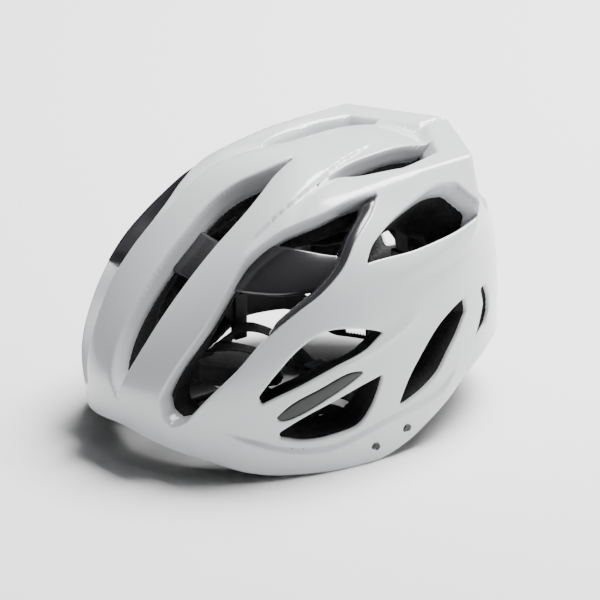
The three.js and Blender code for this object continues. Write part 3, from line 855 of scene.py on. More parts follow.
def beads(graph: Graph, scale: object) -> tuple[object, object]:
    """Fused foam beads: rounded cells, each with its own shade."""
    place = graph.add("ShaderNodeTexCoord").outputs["Object"]
    cells = graph.add("ShaderNodeTexVoronoi", {"feature": "F1"}, Vector=place, Scale=scale)
    edges = graph.add("ShaderNodeTexVoronoi", {"feature": "DISTANCE_TO_EDGE"}, Vector=place,
                      Scale=scale)
    shade = graph.add("ShaderNodeSeparateColor", i0=cells.outputs["Color"]).outputs[0]
    dome = graph.math("MINIMUM", graph.math("MULTIPLY", edges.outputs["Distance"], 4.0), 1.0)
    skin = graph.noise(place, graph.math("MULTIPLY", scale, 6.0))
    return shade, graph.math("ADD", dome, graph.math("MULTIPLY", skin, 0.2))


def knit(graph: Graph, scale: object) -> tuple[object, object]:
    """Brushed knit: fine loops in two directions under a soft nap."""
    place = graph.add("ShaderNodeTexCoord").outputs["Object"]
    rows = graph.add("ShaderNodeTexWave", {"bands_direction": "DIAGONAL"}, Vector=place,
                     Scale=scale, Distortion=1.2)
    wales = graph.add("ShaderNodeTexWave", {"bands_direction": "X"}, Vector=place, Scale=scale,
                      Distortion=1.2)
    loops = graph.math("MULTIPLY", rows.outputs["Fac"], wales.outputs["Fac"])
    nap = graph.noise(place, graph.math("MULTIPLY", scale, 4.0), 4.0)
    slow = graph.noise(place, 60.0)
    shade = graph.blend(nap, 0.6, slow, 0.4)
    return shade, graph.blend(loops, 0.7, nap, 0.5)


def weave(graph: Graph, scale: object) -> tuple[object, object]:
    """Flat webbing: slanted yarns that meet down the middle of the web, by its own map."""
    spot = graph.add("ShaderNodeSeparateXYZ", i0=graph.add("ShaderNodeTexCoord").outputs["UV"])
    across = graph.math("ABSOLUTE", graph.math("SUBTRACT", spot.outputs[0], 0.5))
    along = graph.math("MULTIPLY", spot.outputs[1], scale)
    slant = graph.math("ADD", along, graph.math("MULTIPLY", across, 18.0))
    yarns = graph.math("ABSOLUTE", graph.math("SINE", slant))
    ribs = graph.math("ABSOLUTE", graph.math("SINE", graph.math("MULTIPLY", spot.outputs[0], 56.0)))
    fuzz = graph.noise(graph.add("ShaderNodeTexCoord").outputs["Object"], 3000.0)
    shade = graph.math("MULTIPLY", graph.math("ADD", yarns, fuzz), 0.5)
    return shade, graph.blend(yarns, 0.7, ribs, 0.3)


class Pattern(Enum):
    """The surface patterns that the finishes share."""

    MOULDED = "moulded"
    BEADS = "beads"
    KNIT = "knit"
    WEAVE = "weave"

    def group(self) -> bpy.types.NodeTree:
        """The pattern's node group, built on its first use.

        Returns:
            A group that mixes two colours and two roughnesses over the surface.
        """
        made = bpy.data.node_groups.get(self.value)
        if made:
            return made
        tree = bpy.data.node_groups.new(self.value, "ShaderNodeTree")
        for name, kind in (("Dark", "Color"), ("Light", "Color"), ("Smooth", "Float"),
                           ("Rough", "Float"), ("Scale", "Float")):
            tree.interface.new_socket(name, in_out="INPUT", socket_type=f"NodeSocket{kind}")
        for name, kind in (("Color", "Color"), ("Roughness", "Float"), ("Height", "Float")):
            tree.interface.new_socket(name, in_out="OUTPUT", socket_type=f"NodeSocket{kind}")
        graph = Graph(tree)
        given = graph.add("NodeGroupInput").outputs
        rule = {Pattern.MOULDED: moulded, Pattern.BEADS: beads, Pattern.KNIT: knit,
                Pattern.WEAVE: weave}[self]
        shade, height = rule(graph, given["Scale"])
        color = graph.add("ShaderNodeMix", {"data_type": "RGBA"}, i0=shade, i6=given["Dark"],
                          i7=given["Light"])
        rough = graph.add("ShaderNodeMix", {"data_type": "FLOAT"}, i0=shade, i2=given["Smooth"],
                          i3=given["Rough"])
        graph.add("NodeGroupOutput", Color=color.outputs[2], Roughness=rough.outputs[0],
                  Height=height)
        return tree


@dataclass(frozen=True)
class Finish:
    """One finish: its record slot, its pattern and the values it gives the pattern."""

    name: str
    slot: str
    pattern: Pattern
    dark: tuple[float, float, float]
    light: tuple[float, float, float]
    rough: tuple[float, float]
    scale: float
    relief: float
    coat: float = 0.0
    sheen: float = 0.0

    def material(self) -> bpy.types.Material:
        """The finish's material, built on its first use."""
        made = bpy.data.materials.get(self.name)
        if made:
            return made
        made = bpy.data.materials.new(self.name)
        made.use_nodes = True
        graph = Graph(made.node_tree)
        surface = graph.add("ShaderNodeGroup", {"node_tree": self.pattern.group()},
                            Dark=(*self.dark, 1), Light=(*self.light, 1), Smooth=self.rough[0],
                            Rough=self.rough[1], Scale=self.scale)
        bump = graph.add("ShaderNodeBump", Height=surface.outputs["Height"], Distance=self.relief,
                         Strength=1.0)
        shader = graph.add("ShaderNodeBsdfPrincipled", Base_Color=surface.outputs["Color"],
                           Roughness=surface.outputs["Roughness"], Normal=bump.outputs[0],
                           Coat_Weight=self.coat, Coat_Roughness=0.06, Sheen_Weight=self.sheen,
                           Sheen_Roughness=0.5)
        graph.add("ShaderNodeOutputMaterial", Surface=shader.outputs[0])
        made.diffuse_color = (*self.light, 1)
        return made

    def dress(self, piece: bpy.types.Object) -> bpy.types.Object:
        """Gives a piece this finish."""
        piece.data.materials.clear()
        piece.data.materials.append(self.material())
        return piece


WHITE_SHELL = Finish("white_shell", "shell_white", Pattern.MOULDED, (0.69, 0.705, 0.725),
                     (0.74, 0.75, 0.765), (0.2, 0.28), 700.0, 0.00001, coat=0.35)
BLACK_FOAM = Finish("black_bead_foam", "foam_black", Pattern.BEADS, (0.003, 0.003, 0.0033),
                    (0.009, 0.009, 0.0095), (0.75, 0.95), 330.0, 0.00025)
SMOKE = Finish("smoke_grey_gloss", "smoke_gloss", Pattern.MOULDED, (0.024, 0.023, 0.026),
               (0.036, 0.035, 0.039), (0.16, 0.24), 500.0, 0.00001, coat=0.6)
LEAF_GREY = Finish("leaf_grey_gloss", "leaf_gloss", Pattern.MOULDED, (0.004, 0.0055, 0.005),
                   (0.008, 0.0105, 0.0095), (0.3, 0.4), 900.0, 0.00002)
BLACK_PLASTIC = Finish("black_satin_plastic", "black_plastic", Pattern.MOULDED,
                       (0.011, 0.011, 0.012), (0.02, 0.02, 0.021), (0.38, 0.52), 2600.0, 0.00004)
GREY_PLASTIC = Finish("grey_satin_plastic", "grey_plastic", Pattern.MOULDED, (0.07, 0.073, 0.078),
                      (0.1, 0.104, 0.11), (0.36, 0.5), 2600.0, 0.00004)
PAD_KNIT = Finish("pad_knit", "pad_cloth", Pattern.KNIT, (0.012, 0.012, 0.014),
                  (0.034, 0.034, 0.038), (0.85, 0.98), 420.0, 0.00022, sheen=0.35)
WEBBING = Finish("webbing_weave", "webbing", Pattern.WEAVE, (0.008, 0.008, 0.009),
                 (0.03, 0.03, 0.033), (0.6, 0.85), 2400.0, 0.00018, sheen=0.2)


def put(piece: bpy.types.Object, finish: Finish, body: str, *nodes: str) -> bpy.types.Object:
    """Dresses a piece, hangs it on a body and stands it for CAD nodes.

    Args:
        piece: The finished piece.
        finish: What it is dressed in.
        body: The body it rides on.
        nodes: The CAD nodes it stands for.

    Returns:
        The same piece.
    """
    finish.dress(piece)
    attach(piece, body)
    if nodes:
        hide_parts(*nodes)
    LOG.info("%s: %d faces on %s", piece.name, len(piece.data.polygons), body)
    return piece


# ---- modelling tools ----
Place = Sequence[float]


SMOOTH_ANGLE = math.radians(35)


def edged(piece: bpy.types.Object, edge: float) -> bpy.types.Object:
    """Rounds a piece's edges, in millimetres, and smooths it where it turns little."""
    if edge:
        apply(piece, "BEVEL", width=edge * MM, segments=3, limit_method="ANGLE")
    bpy.ops.object.shade_smooth_by_angle(angle=SMOOTH_ANGLE)
    return piece


def block(name: str, low: Place, high: Place, edge: float = 0.8) -> bpy.types.Object:
    """A box between two corners in millimetres, with rounded edges."""
    a, b = DOME.metres(np.array([low, high], float))
    bpy.ops.mesh.primitive_cube_add(size=1, location=(a + b) / 2)
    piece = active(bpy.context.object)
    piece.name = name
    piece.scale = b - a
    bpy.ops.object.transform_apply(location=True, rotation=False, scale=True)
    return edged(piece, edge)


def rod(name: str, start: Place, end: Place, radius: float, sides: int = 32,
        edge: float = 0.0) -> bpy.types.Object:
    """A round rod between two places in millimetres."""
    a, b = (Vector(v) for v in DOME.metres(np.array([start, end], float)))
    bpy.ops.mesh.primitive_cylinder_add(vertices=sides, radius=radius * MM, depth=(b - a).length,
                                        location=(a + b) / 2,
                                        rotation=(b - a).to_track_quat("Z", "Y").to_euler())
    piece = active(bpy.context.object)
    piece.name = name
    bpy.ops.object.transform_apply(location=True, rotation=True, scale=True)
    return edged(piece, edge)


def carve(piece: bpy.types.Object, tool: bpy.types.Object, operation: str = "DIFFERENCE") -> None:
    """Cuts a tool out of a piece, or joins it on, and removes the tool."""
    apply(piece, "BOOLEAN", operation=operation, object=tool, solver="EXACT")
    bpy.data.objects.remove(tool)
    active(piece)
    bpy.ops.object.shade_smooth_by_angle(angle=SMOOTH_ANGLE)


def loft(name: str, sections: Array) -> bpy.types.Object:
    """A closed solid through a run of closed sections.

    Args:
        name: The object's name.
        sections: Places in millimetres by station and by point round the section.

    Returns:
        The solid, with its faces outwards and its ends closed.
    """
    stations, count = sections.shape[:2]
    faces: list[tuple[int, ...]] = []
    for i in range(stations - 1):
        for k in range(count):
            a, b = i * count + k, i * count + (k + 1) % count
            faces.append((a, b, b + count, a + count))
    faces += [tuple(reversed(range(count))), tuple(range((stations - 1) * count, stations * count))]
    piece = build_mesh(name, sections.reshape(-1, 3), faces)
    shell = bmesh.new()
    shell.from_mesh(piece.data)
    bmesh.ops.recalc_face_normals(shell, faces=shell.faces)
    shell.to_mesh(piece.data)
    shell.free()
    active(piece)
    bpy.ops.object.shade_smooth_by_angle(angle=math.radians(40))
    return piece


def rounded(width: float, height: float, corner: float, steps: int = 4) -> Array:
    """Points round a rectangle with rounded corners, about its middle."""
    points = []
    for x, y, start in ((1, 1, 0), (-1, 1, 90), (-1, -1, 180), (1, -1, 270)):
        for k in range(steps + 1):
            turn = math.radians(start + 90 * k / steps)
            points.append((x * (width / 2 - corner) + corner * math.cos(turn),
                           y * (height / 2 - corner) + corner * math.sin(turn)))
    return np.array(points)


# ---- fit ring layout, in millimetres ----
RING_CENTRE_Y = 20.0
BAND_RADIUS = 73.4
DIAL_HEIGHT = 17.0


def about_dial(radius: Array, y: float, turn: Array) -> Array:
    """Places round the dial's axis, at one distance to the rear."""
    return np.stack([radius * np.cos(turn), y + 0 * turn, DIAL_HEIGHT + radius * np.sin(turn)],
                    axis=-1)


def on_ring(angle: Array, radius: Array, z: Array) -> Array:
    """Places on the fit ring, by angle from the rear."""
    a = np.radians(angle)
    return np.stack([radius * np.sin(a), RING_CENTRE_Y + radius * np.cos(a), z + 0 * a], axis=-1)


# ---- trim ----
INSERT_EDGE = ((95, 32), (87, 36), (74, 43), (66, 51), (57, 58), (48, 64), (41, 70))
ANCHORS = {"front": (75, 110), "rear": (88, 107.5)}


@dataclass
class Trim:
    """The gloss parts set into the shell: the bridge, the shoulder inserts, leaves and anchors."""

    bridge_width: float = 17.0
    bridge_depth: float = 12.6
    leaf_gap: float = 0.35
    leaf_sink: float = 0.3
    leaf_dish: float = 0.5
    leaf_thickness: float = 1.4

    def build(self) -> None:
        """Makes every trim piece."""
        put(self.bridge(), SMOKE, "helmet", "front_bridge")
        for side in Side:
            word = side.word
            put(self.insert(side), SMOKE, "helmet", f"{word}_shoulder_insert")
            put(self.leaf(side), LEAF_GREY, "helmet", f"{word}_leaf_inlay")
            for name, anchor in ANCHORS.items():
                put(self.plug(f"{word}_{name}_anchor", anchor, side), BLACK_PLASTIC, "helmet",
                    f"{word}_{name}_anchor_plug")

    def bridge(self) -> bpy.types.Object:
        """The bar that runs across behind the front vents, with a crowned face and rolled edges."""
        bearings = np.linspace(-72, 72, 120)
        section = rounded(self.bridge_width, 3.2, 1.4)
        rows = []
        for bearing in bearings:
            end = 1 - 0.45 * smooth(abs(bearing), 40, 72)
            polar = 50 + section[:, 0] * end
            chart = to_chart(np.column_stack([np.full(len(polar), bearing), polar]))
            arch = 2.2 * (1 - (section[:, 0] / (self.bridge_width / 2)) ** 2)
            back = DOME.outer(chart) - self.bridge_depth
            rows.append(DOME.place(chart, back + section[:, 1] + arch))
        return loft("bridge_bar", np.array(rows))

    def insert(self, side: Side) -> bpy.types.Object:
        """The gloss panel on the outer wall of a shoulder vent."""
        chart = open_curve(INSERT_EDGE, side, 0.8)
        edge = DOME.place(chart, DOME.outer(chart))
        rays = DOME.rays(chart)
        along = unit(np.gradient(edge, axis=0))
        across = unit(np.cross(along, rays))
        inward = np.array([-0.8 * side.value, -0.6, 0.0])
        across *= np.sign(across @ inward)[:, None]
        rows = []
        for i, t in enumerate(np.linspace(0, 1, len(chart))):
            wide = (6.0 - 3.8 * t) * (0.35 + 0.65 * smooth(t, 0, 0.06) * (1 - smooth(t, 0.93, 1.0)))
            shape = ((0.3, 0.2), (wide * 0.5, -0.3), (wide, -2.4), (wide + 0.8, -7.0),
                     (wide + 1.0, -13.0), (0.3, -13.0))
            line = resample(spline(np.array(shape), closed=True, steps=5), 0.9)
            stops = np.linspace(0, len(line) - 1, 28)
            u = np.interp(stops, range(len(line)), line[:, 0])
            n = np.interp(stops, range(len(line)), line[:, 1])
            rows.append(edge[i] + across[i] * u[:, None] + rays[i] * n[:, None])
        return loft(f"{side.word}_gloss_insert", np.array(rows))

    def leaf(self, side: Side) -> bpy.types.Object:
        """The long inlay between the two side vents, dished a little below the skin."""
        outline = soften(spline(to_chart(LEAF, side)), 0.5)
        loop = resample(shifted(outline, -self.leaf_gap), 0.7)
        low, high = loop.min(0), loop.max(0)
        grid = np.array([(x, y) for x in np.arange(low[0], high[0], 1.3)
                         for y in np.arange(low[1], high[1], 1.3)])
        rings = [shifted(loop, -k) for k in (0.15, 0.4, 0.8, 1.3)]
        loose = np.vstack([grid, *rings])
        tree = search_tree(DOME.spread(resample(loop, 0.18)))
        loose = loose[inside(loose, loop)]
        loose = loose[distances(tree, loose) > 0.12]
        count = len(loop)
        edges = [(i, (i + 1) % count) for i in range(count)]
        chart, tris = triangulate(np.vstack([loop, loose]), edges, 1)
        dish = self.leaf_dish * np.exp(-distances(tree, chart) / 0.5)
        radius = DOME.outer(chart) + RELIEF.height(chart) - self.leaf_sink - dish
        top = DOME.place(chart, radius)
        under = DOME.place(chart, radius - self.leaf_thickness)
        total = len(chart)
        faces = [tuple(t) for t in tris.tolist()]
        faces += [tuple(total + v for v in reversed(t)) for t in tris.tolist()]
        faces += [(b, a, a + total, b + total) for a, b in open_sides(tris)]
        return build_mesh(f"{side.word}_leaf", np.vstack([top, under]), faces)

    def plug(self, name: str, anchor: tuple[float, float], side: Side) -> bpy.types.Object:
        """A strap anchor: the dished oval head in the skin and the barrel behind it."""
        chart = to_chart([anchor], side)
        ray = DOME.rays(chart)[0]
        surface = DOME.place(chart, DOME.outer(chart) + RELIEF.height(chart))[0]
        head = rod(f"{name}_head", surface + ray * 0.5, surface - ray * 2.5, 3.1, 40, 0.3)
        dish = rod("dish", surface + ray * 2.0, surface + ray * 0.25, 0.9, 32)
        carve(head, dish)
        stem = rod("stem", surface - ray * 2.0, surface - ray * 22.0, 2.2)
        carve(head, stem, "UNION")
        return head


# ---- pads ----
CLOTH_FRAMES = 12
CLOTH_PRESSURE = 4
SWELL_CAP = 0.5
VOXEL = 2.2
SEAM_DEPTH = 0.7
SEAM_INSET = 2.6
CHANNEL_DEPTH = 0.8
CHANNEL_SPACING = 24


def corners(piece: bpy.types.Object) -> Array:
    """Places in metres of a piece's corners."""
    return np.array([corner.co for corner in piece.data.vertices])


def flattened(t: Array, power: float) -> Array:
    """A sine or cosine raised to a power with its sign kept, which squares up a round section."""
    return np.sign(t) * np.abs(t) ** power


@dataclass(frozen=True)
class Pad:
    """A cloth-faced foam pad: its node, its body, and its patch of the cavity or of the cradle."""

    node: str
    body: str
    first: tuple[float, float]
    second: tuple[float, float]
    side: Side = Side.LEFT
    ring: bool = False
    thick: float = 5.0

    def place(self, u: Array, v: Array, depth: Array) -> Array:
        """Places in millimetres; u and v run -1 to 1 over the patch, depth leaves its back."""
        across = (self.first[0] + self.second[0]) / 2 + u * (self.second[0] - self.first[0]) / 2
        other = (self.first[1] + self.second[1]) / 2 + v * (self.second[1] - self.first[1]) / 2
        if self.ring:
            return on_ring(across * self.side.value, BAND_RADIUS - 2.5 - depth, other)
        chart = to_chart(np.column_stack([across, other]), self.side)
        return DOME.place(chart, DOME.inner(chart) - 2.3 - depth)

    def flat(self, points: Array) -> tuple[Array, Array]:
        """The u and v of places in millimetres."""
        if self.ring:
            a = np.degrees(np.arctan2(points[:, 0] * self.side.value, points[:, 1] - RING_CENTRE_Y))
            b = points[:, 2]
        else:
            chart = DOME.chart_of(points)
            a = np.degrees(np.arctan2(chart[:, 0] * self.side.value, -chart[:, 1]))
            b = np.hypot(chart[:, 0], chart[:, 1])
        u = (2 * a - self.first[0] - self.second[0]) / (self.second[0] - self.first[0])
        v = (2 * b - self.first[1] - self.second[1]) / (self.second[1] - self.first[1])
        return u, v

    def build(self) -> bpy.types.Object:
        """Shapes the pad, swells its cloth and sews its channels."""
        size = self.place(np.array([-1.0, 1.0, 0.0, 0.0]), np.array([0.0, 0.0, -1.0, 1.0]),
                          np.zeros(4))
        long, wide = np.linalg.norm(size[0] - size[1]), np.linalg.norm(size[2] - size[3])
        corner = min(0.42 * wide, 7.0)
        turns = np.radians(np.linspace(0, 360, 44, endpoint=False))
        rows = []
        for u in -np.cos(np.linspace(0.12, math.pi - 0.12, 60)):
            past = max(0.0, (abs(u) - (1 - 2 * corner / long)) / (2 * corner / long))
            round_off = math.sqrt(max(0.0, 1 - past**2))
            v_max = (1 - 2 * corner / wide * (1 - round_off)) * 0.95
            puff = 0.35 + 0.65 * round_off
            v = v_max * flattened(np.cos(turns), 0.45)
            w = self.thick * (0.5 + 0.5 * puff * flattened(np.sin(turns), 0.75))
            rows.append(self.place(np.full(len(v), u * 0.98), v, w))
        pad = loft(f"{self.node}_cloth", np.array(rows))
        pad = self._swell(pad)
        self._sew(pad, long, wide)
        return pad

    def _swell(self, pad: bpy.types.Object) -> bpy.types.Object:
        """Remeshes the pad and lets its cloth swell, with the swelling capped."""
        apply(pad, "REMESH", mode="VOXEL", voxel_size=VOXEL * MM)
        start = corners(pad)
        active(pad)
        cloth = pad.modifiers.new("Cloth", "CLOTH")
        cloth.settings.use_pressure = True
        cloth.settings.uniform_pressure_force = CLOTH_PRESSURE
        cloth.settings.quality = 4
        cloth.settings.effector_weights.gravity = 0
        cloth.point_cache.frame_end = CLOTH_FRAMES
        for number in range(1, CLOTH_FRAMES + 1):
            bpy.context.scene.frame_set(number)
        bpy.ops.object.modifier_apply(modifier=cloth.name)
        bpy.context.scene.frame_set(1)
        move = corners(pad) - start
        far = np.linalg.norm(move, axis=1)
        move *= (np.minimum(far, SWELL_CAP * MM) / np.maximum(far, 1e-9))[:, None]
        pad.data.vertices.foreach_set("co", (start + move).ravel())
        LOG.info("%s: the cloth swelled %.2f mm on average", pad.name, far.mean() / MM)
        apply(pad, "SUBSURF", levels=1, render_levels=1)
        pad.data.shade_smooth()
        return pad

    def _sew(self, pad: bpy.types.Object, long: float, wide: float) -> None:
        """Sinks the sewn edge and the channels across the pad's face."""
        places = corners(pad) / MM
        places[:, 1] += DOME.mid_length
        u, v = self.flat(places)
        edge = np.minimum((1 - np.abs(u)) * long / 2, (1 - np.abs(v)) * wide / 2)
        depth = SEAM_DEPTH * np.exp(-(((edge - SEAM_INSET) / 0.7) ** 2))
        count = max(1, round(long / CHANNEL_SPACING))
        for stop in np.linspace(-1, 1, count + 2)[1:-1]:
            channel = np.exp(-(((u - stop) * long / 2 / 0.9) ** 2))
            depth = np.maximum(depth, CHANNEL_DEPTH * channel * (edge > 2))
        normals = np.array([corner.normal for corner in pad.data.vertices])
        places = corners(pad) - normals * (depth * MM)[:, None]
        pad.data.vertices.foreach_set("co", places.ravel())
        pad.data.update()


PADS = (
    Pad("brow_pad", "helmet", (-45, 83), (45, 91.5)),
    *(Pad(f"{side.word}_crown_pad", "helmet", (25, 20.5), (149, 31.5), side) for side in Side),
    *(Pad(f"{side.word}_side_pad", "helmet", (73, 58.5), (107, 69.5), side) for side in Side),
    *(Pad(f"{side.word}_nape_pad", "cradle", (3.5, 5.5), (20.5, 29.5), side, True, 3.8)
      for side in Side),
)


# ---- fit ring ----
@dataclass
class FitRing:
    """The rack bands, the cradle with its dial, the hanger and the guides in the liner."""

    rack_end: float = -12.0
    rack_start: float = 33.0
    band_end: float = 100.0
    lift: float = 19.0
    travel: float = 12.0
    rack_half: float = 7.9
    tooth_pitch: float = 1.65

    def build(self) -> None:
        """Makes every piece of the ring."""
        put(self.band("left_rack_band", Side.LEFT, 1), BLACK_PLASTIC, "left_ring_band", "left_band")
        put(self.band("right_rack_band", Side.RIGHT, -1), BLACK_PLASTIC, "right_ring_band",
            "right_band")
        put(self.cover("inner_cover", 21.8, (3.0, 32.0), (71.5, 72.9)), BLACK_PLASTIC, "cradle",
            "cradle_inner_cover")
        outer = self.cover("outer_cover", 10.0, (0.0, 34.0), (75.4, 78.8))
        start = RING_CENTRE_Y + 70
        carve(outer, rod("bore", (0, start, DIAL_HEIGHT), (0, start + 20, DIAL_HEIGHT), 2.6))
        put(outer, BLACK_PLASTIC, "cradle", "cradle_outer_cover")
        put(self.knob(), GREY_PLASTIC, "dial", "dial_knob")
        put(self.pinion(), GREY_PLASTIC, "dial", "dial_pinion")
        self.hanger()
        for side in Side:
            self.temple_guide(side)

    def band(self, name: str, side: Side, upper: int) -> bpy.types.Object:
        """A thin band bent round the ring, with its toothed rack on one edge at the rear."""
        angles = np.arange(self.rack_end, self.band_end + 0.1, 0.4)
        profile = rounded(2.0, 1.4, 0.45, 3)
        rows = []
        for angle in angles:
            lift = self.lift * float(smooth(np.array(angle), 36, 66))
            outer = DIAL_HEIGHT + upper * self.rack_half + lift
            narrow = 1 - float(smooth(np.array(angle), self.rack_start, self.rack_start + 1.2))
            tooth = 0.45 * (1 + math.cos(2 * math.pi * angle / self.tooth_pitch)) * narrow
            inner = DIAL_HEIGHT - upper * self.rack_half + lift
            inner += upper * narrow * (2 * self.rack_half - 3.4 + tooth)
            end = 1 - 0.55 * max(0.0, 1 - (self.band_end - angle) / 5.0) ** 2
            middle, half = (outer + inner) / 2, abs(outer - inner) / 2 * end
            z = middle + half * profile[:, 0]
            radius = BAND_RADIUS + 0.8 + profile[:, 1]
            rows.append(on_ring(np.full(len(z), angle * side.value), radius, z))
        return loft(name, np.array(rows))

    def cover(self, name: str, half: float, heights: tuple[float, float],
              radii: tuple[float, float]) -> bpy.types.Object:
        """A cradle cover bent round the ring, with rounded corners and edges."""
        section = rounded(2.0, 2.0, 0.5, 3)
        middle, tall = sum(heights) / 2, (heights[1] - heights[0]) / 2
        rows = []
        for angle in -half * np.cos(np.linspace(0.02, math.pi - 0.02, 56)):
            past = max(0.0, (abs(angle) - half * 0.72) / (half * 0.28))
            size = tall * (1 - 0.34 * (1 - math.sqrt(max(0.0, 1 - past**2))))
            radius = sum(radii) / 2 + section[:, 1] * (radii[1] - radii[0]) / 2
            at = np.full(len(section), angle)
            rows.append(on_ring(at, radius, middle + size * section[:, 0]))
        return loft(name, np.array(rows))

    def knob(self) -> bpy.types.Object:
        """The ridged dial knob."""
        start = RING_CENTRE_Y + BAND_RADIUS + 8.0
        turn = np.radians(np.linspace(0, 360, 144, endpoint=False))
        rows = []
        profile = ((6.0, 0.0, 0), (10.6, 0.0, 0), (11.3, 0.7, 0.2), (11.4, 1.6, 1), (11.4, 6.6, 1),
                   (11.0, 7.8, 0.6), (10.2, 8.5, 0), (9.0, 8.9, 0), (8.2, 8.9, 0), (7.9, 8.5, 0),
                   (4.0, 8.2, 0), (0.4, 8.1, 0))
        for radius, along, grip in profile:
            r = radius - 0.55 * grip * (0.5 + 0.5 * np.cos(18 * turn)) ** 2
            rows.append(about_dial(r, start + along, turn))
        return loft("ridged_knob", np.array(rows))

    def pinion(self) -> bpy.types.Object:
        """The toothed pinion and its stem."""
        start = RING_CENTRE_Y + BAND_RADIUS + 0.1
        turn = np.radians(np.linspace(0, 360, 120, endpoint=False))
        r = 3.6 + 0.55 * np.clip(1.6 * np.cos(10 * turn), -1, 1)
        rows = [about_dial(r * k, start + y, turn)
                for y, k in ((0.0, 0.94), (0.12, 1.0), (1.45, 1.0), (1.6, 0.94))]
        wheel = loft("toothed_pinion", np.array(rows))
        stem = rod("stem", (0, start + 1.2, DIAL_HEIGHT), (0, start + 7.5, DIAL_HEIGHT), 2.2)
        carve(wheel, stem, "UNION")
        return wheel

    def hanger(self) -> None:
        """The upright strip with its row of stops, and the guide that it slides in."""
        y = RING_CENTRE_Y + BAND_RADIUS
        upright = block("hanger_strip", (-6, y, 25.6), (6, y + 1.6, 92), 0.5)
        for z in range(36, 64, 5):
            carve(upright, block("stop", (-2.5, y - 2, z), (2.5, y + 4, z + 2), 0))
        put(upright, BLACK_PLASTIC, "cradle", "height_hanger")
        guide = block("hanger_guide", (-9, y - 1.6, 66), (9, y + 3.6, 78), 1.0)
        carve(guide, block("slot", (-6.4, y - 0.35, 60), (6.4, y + 1.95, 84), 0))
        carve(guide, rod("stud", (0, y + 3.2, 72), (0, y + 17, 72), 3.0), "UNION")
        put(guide, BLACK_PLASTIC, "helmet", "height_guide")

    def temple_guide(self, side: Side) -> None:
        """The slotted clip in the liner that holds a band's front end."""
        top = DIAL_HEIGHT + self.lift + 8.4
        foot = DIAL_HEIGHT + self.lift - 8.4 - self.travel
        x0, x1 = sorted((71.6 * side.value, 77.2 * side.value))
        guide = block(f"{side.word}_clip", (x0, 15, foot - 1.6), (x1, 25, top + 1.6), 0.9)
        s0, s1 = sorted((72.7 * side.value, 75.6 * side.value))
        carve(guide, block("slot", (s0, 8, foot), (s1, 32, top), 0))
        stud = rod("stud", (76.5 * side.value, 20, 36), (87.5 * side.value, 20, 36), 2.2)
        carve(guide, stud, "UNION")
        put(guide, BLACK_PLASTIC, "helmet", f"{side.word}_temple_guide")


# ---- straps ----
WEB_ROUTES = {
    "left_front_web": ((73.6, -11.1, 9.2), (69.5, -11.5, 14.5), (62, -16, 19), (54, -24, 18.5),
                       (46, -32, 13), (39, -38.5, 6.2), (31, -43.5, 2.6), (26, -45, 2.4),
                       (-27, -45, 2.4)),
    "left_rear_web": ((75.2, 6, 12.8), (69, 5, 17), (63, 0, 22.5), (56, -9, 26.5), (49, -20, 22.5),
                      (43, -31, 15.5), (36, -39.5, 9), (31, -43.8, 5.2), (27, -45, 3.9),
                      (-27, -45, 3.9)),
    "right_front_web": ((-73.6, -11.1, 9.2), (-69.5, -11.5, 14.5), (-63, -9.5, 19), (-57, -1, 19.5),
                        (-51, 12, 15), (-44, 26, 8), (-36, 36.5, 3), (-31, 39.5, 2.4),
                        (-26, 40, 2.4), (27, 40, 2.4)),
    "right_rear_web": ((-75.2, 6, 12.8), (-70, 6, 19), (-64, 8.5, 26.5), (-57, 16, 28.3),
                       (-51, 25, 24.5), (-44.5, 32.5, 18), (-38, 37.6, 11.5), (-32, 39.5, 6),
                       (-27, 40, 3.9), (27, 40, 3.9)),
    "strap_tail": ((26, 40, 5.4), (12, 40, 5.4), (3, 40, 5.4)),
}


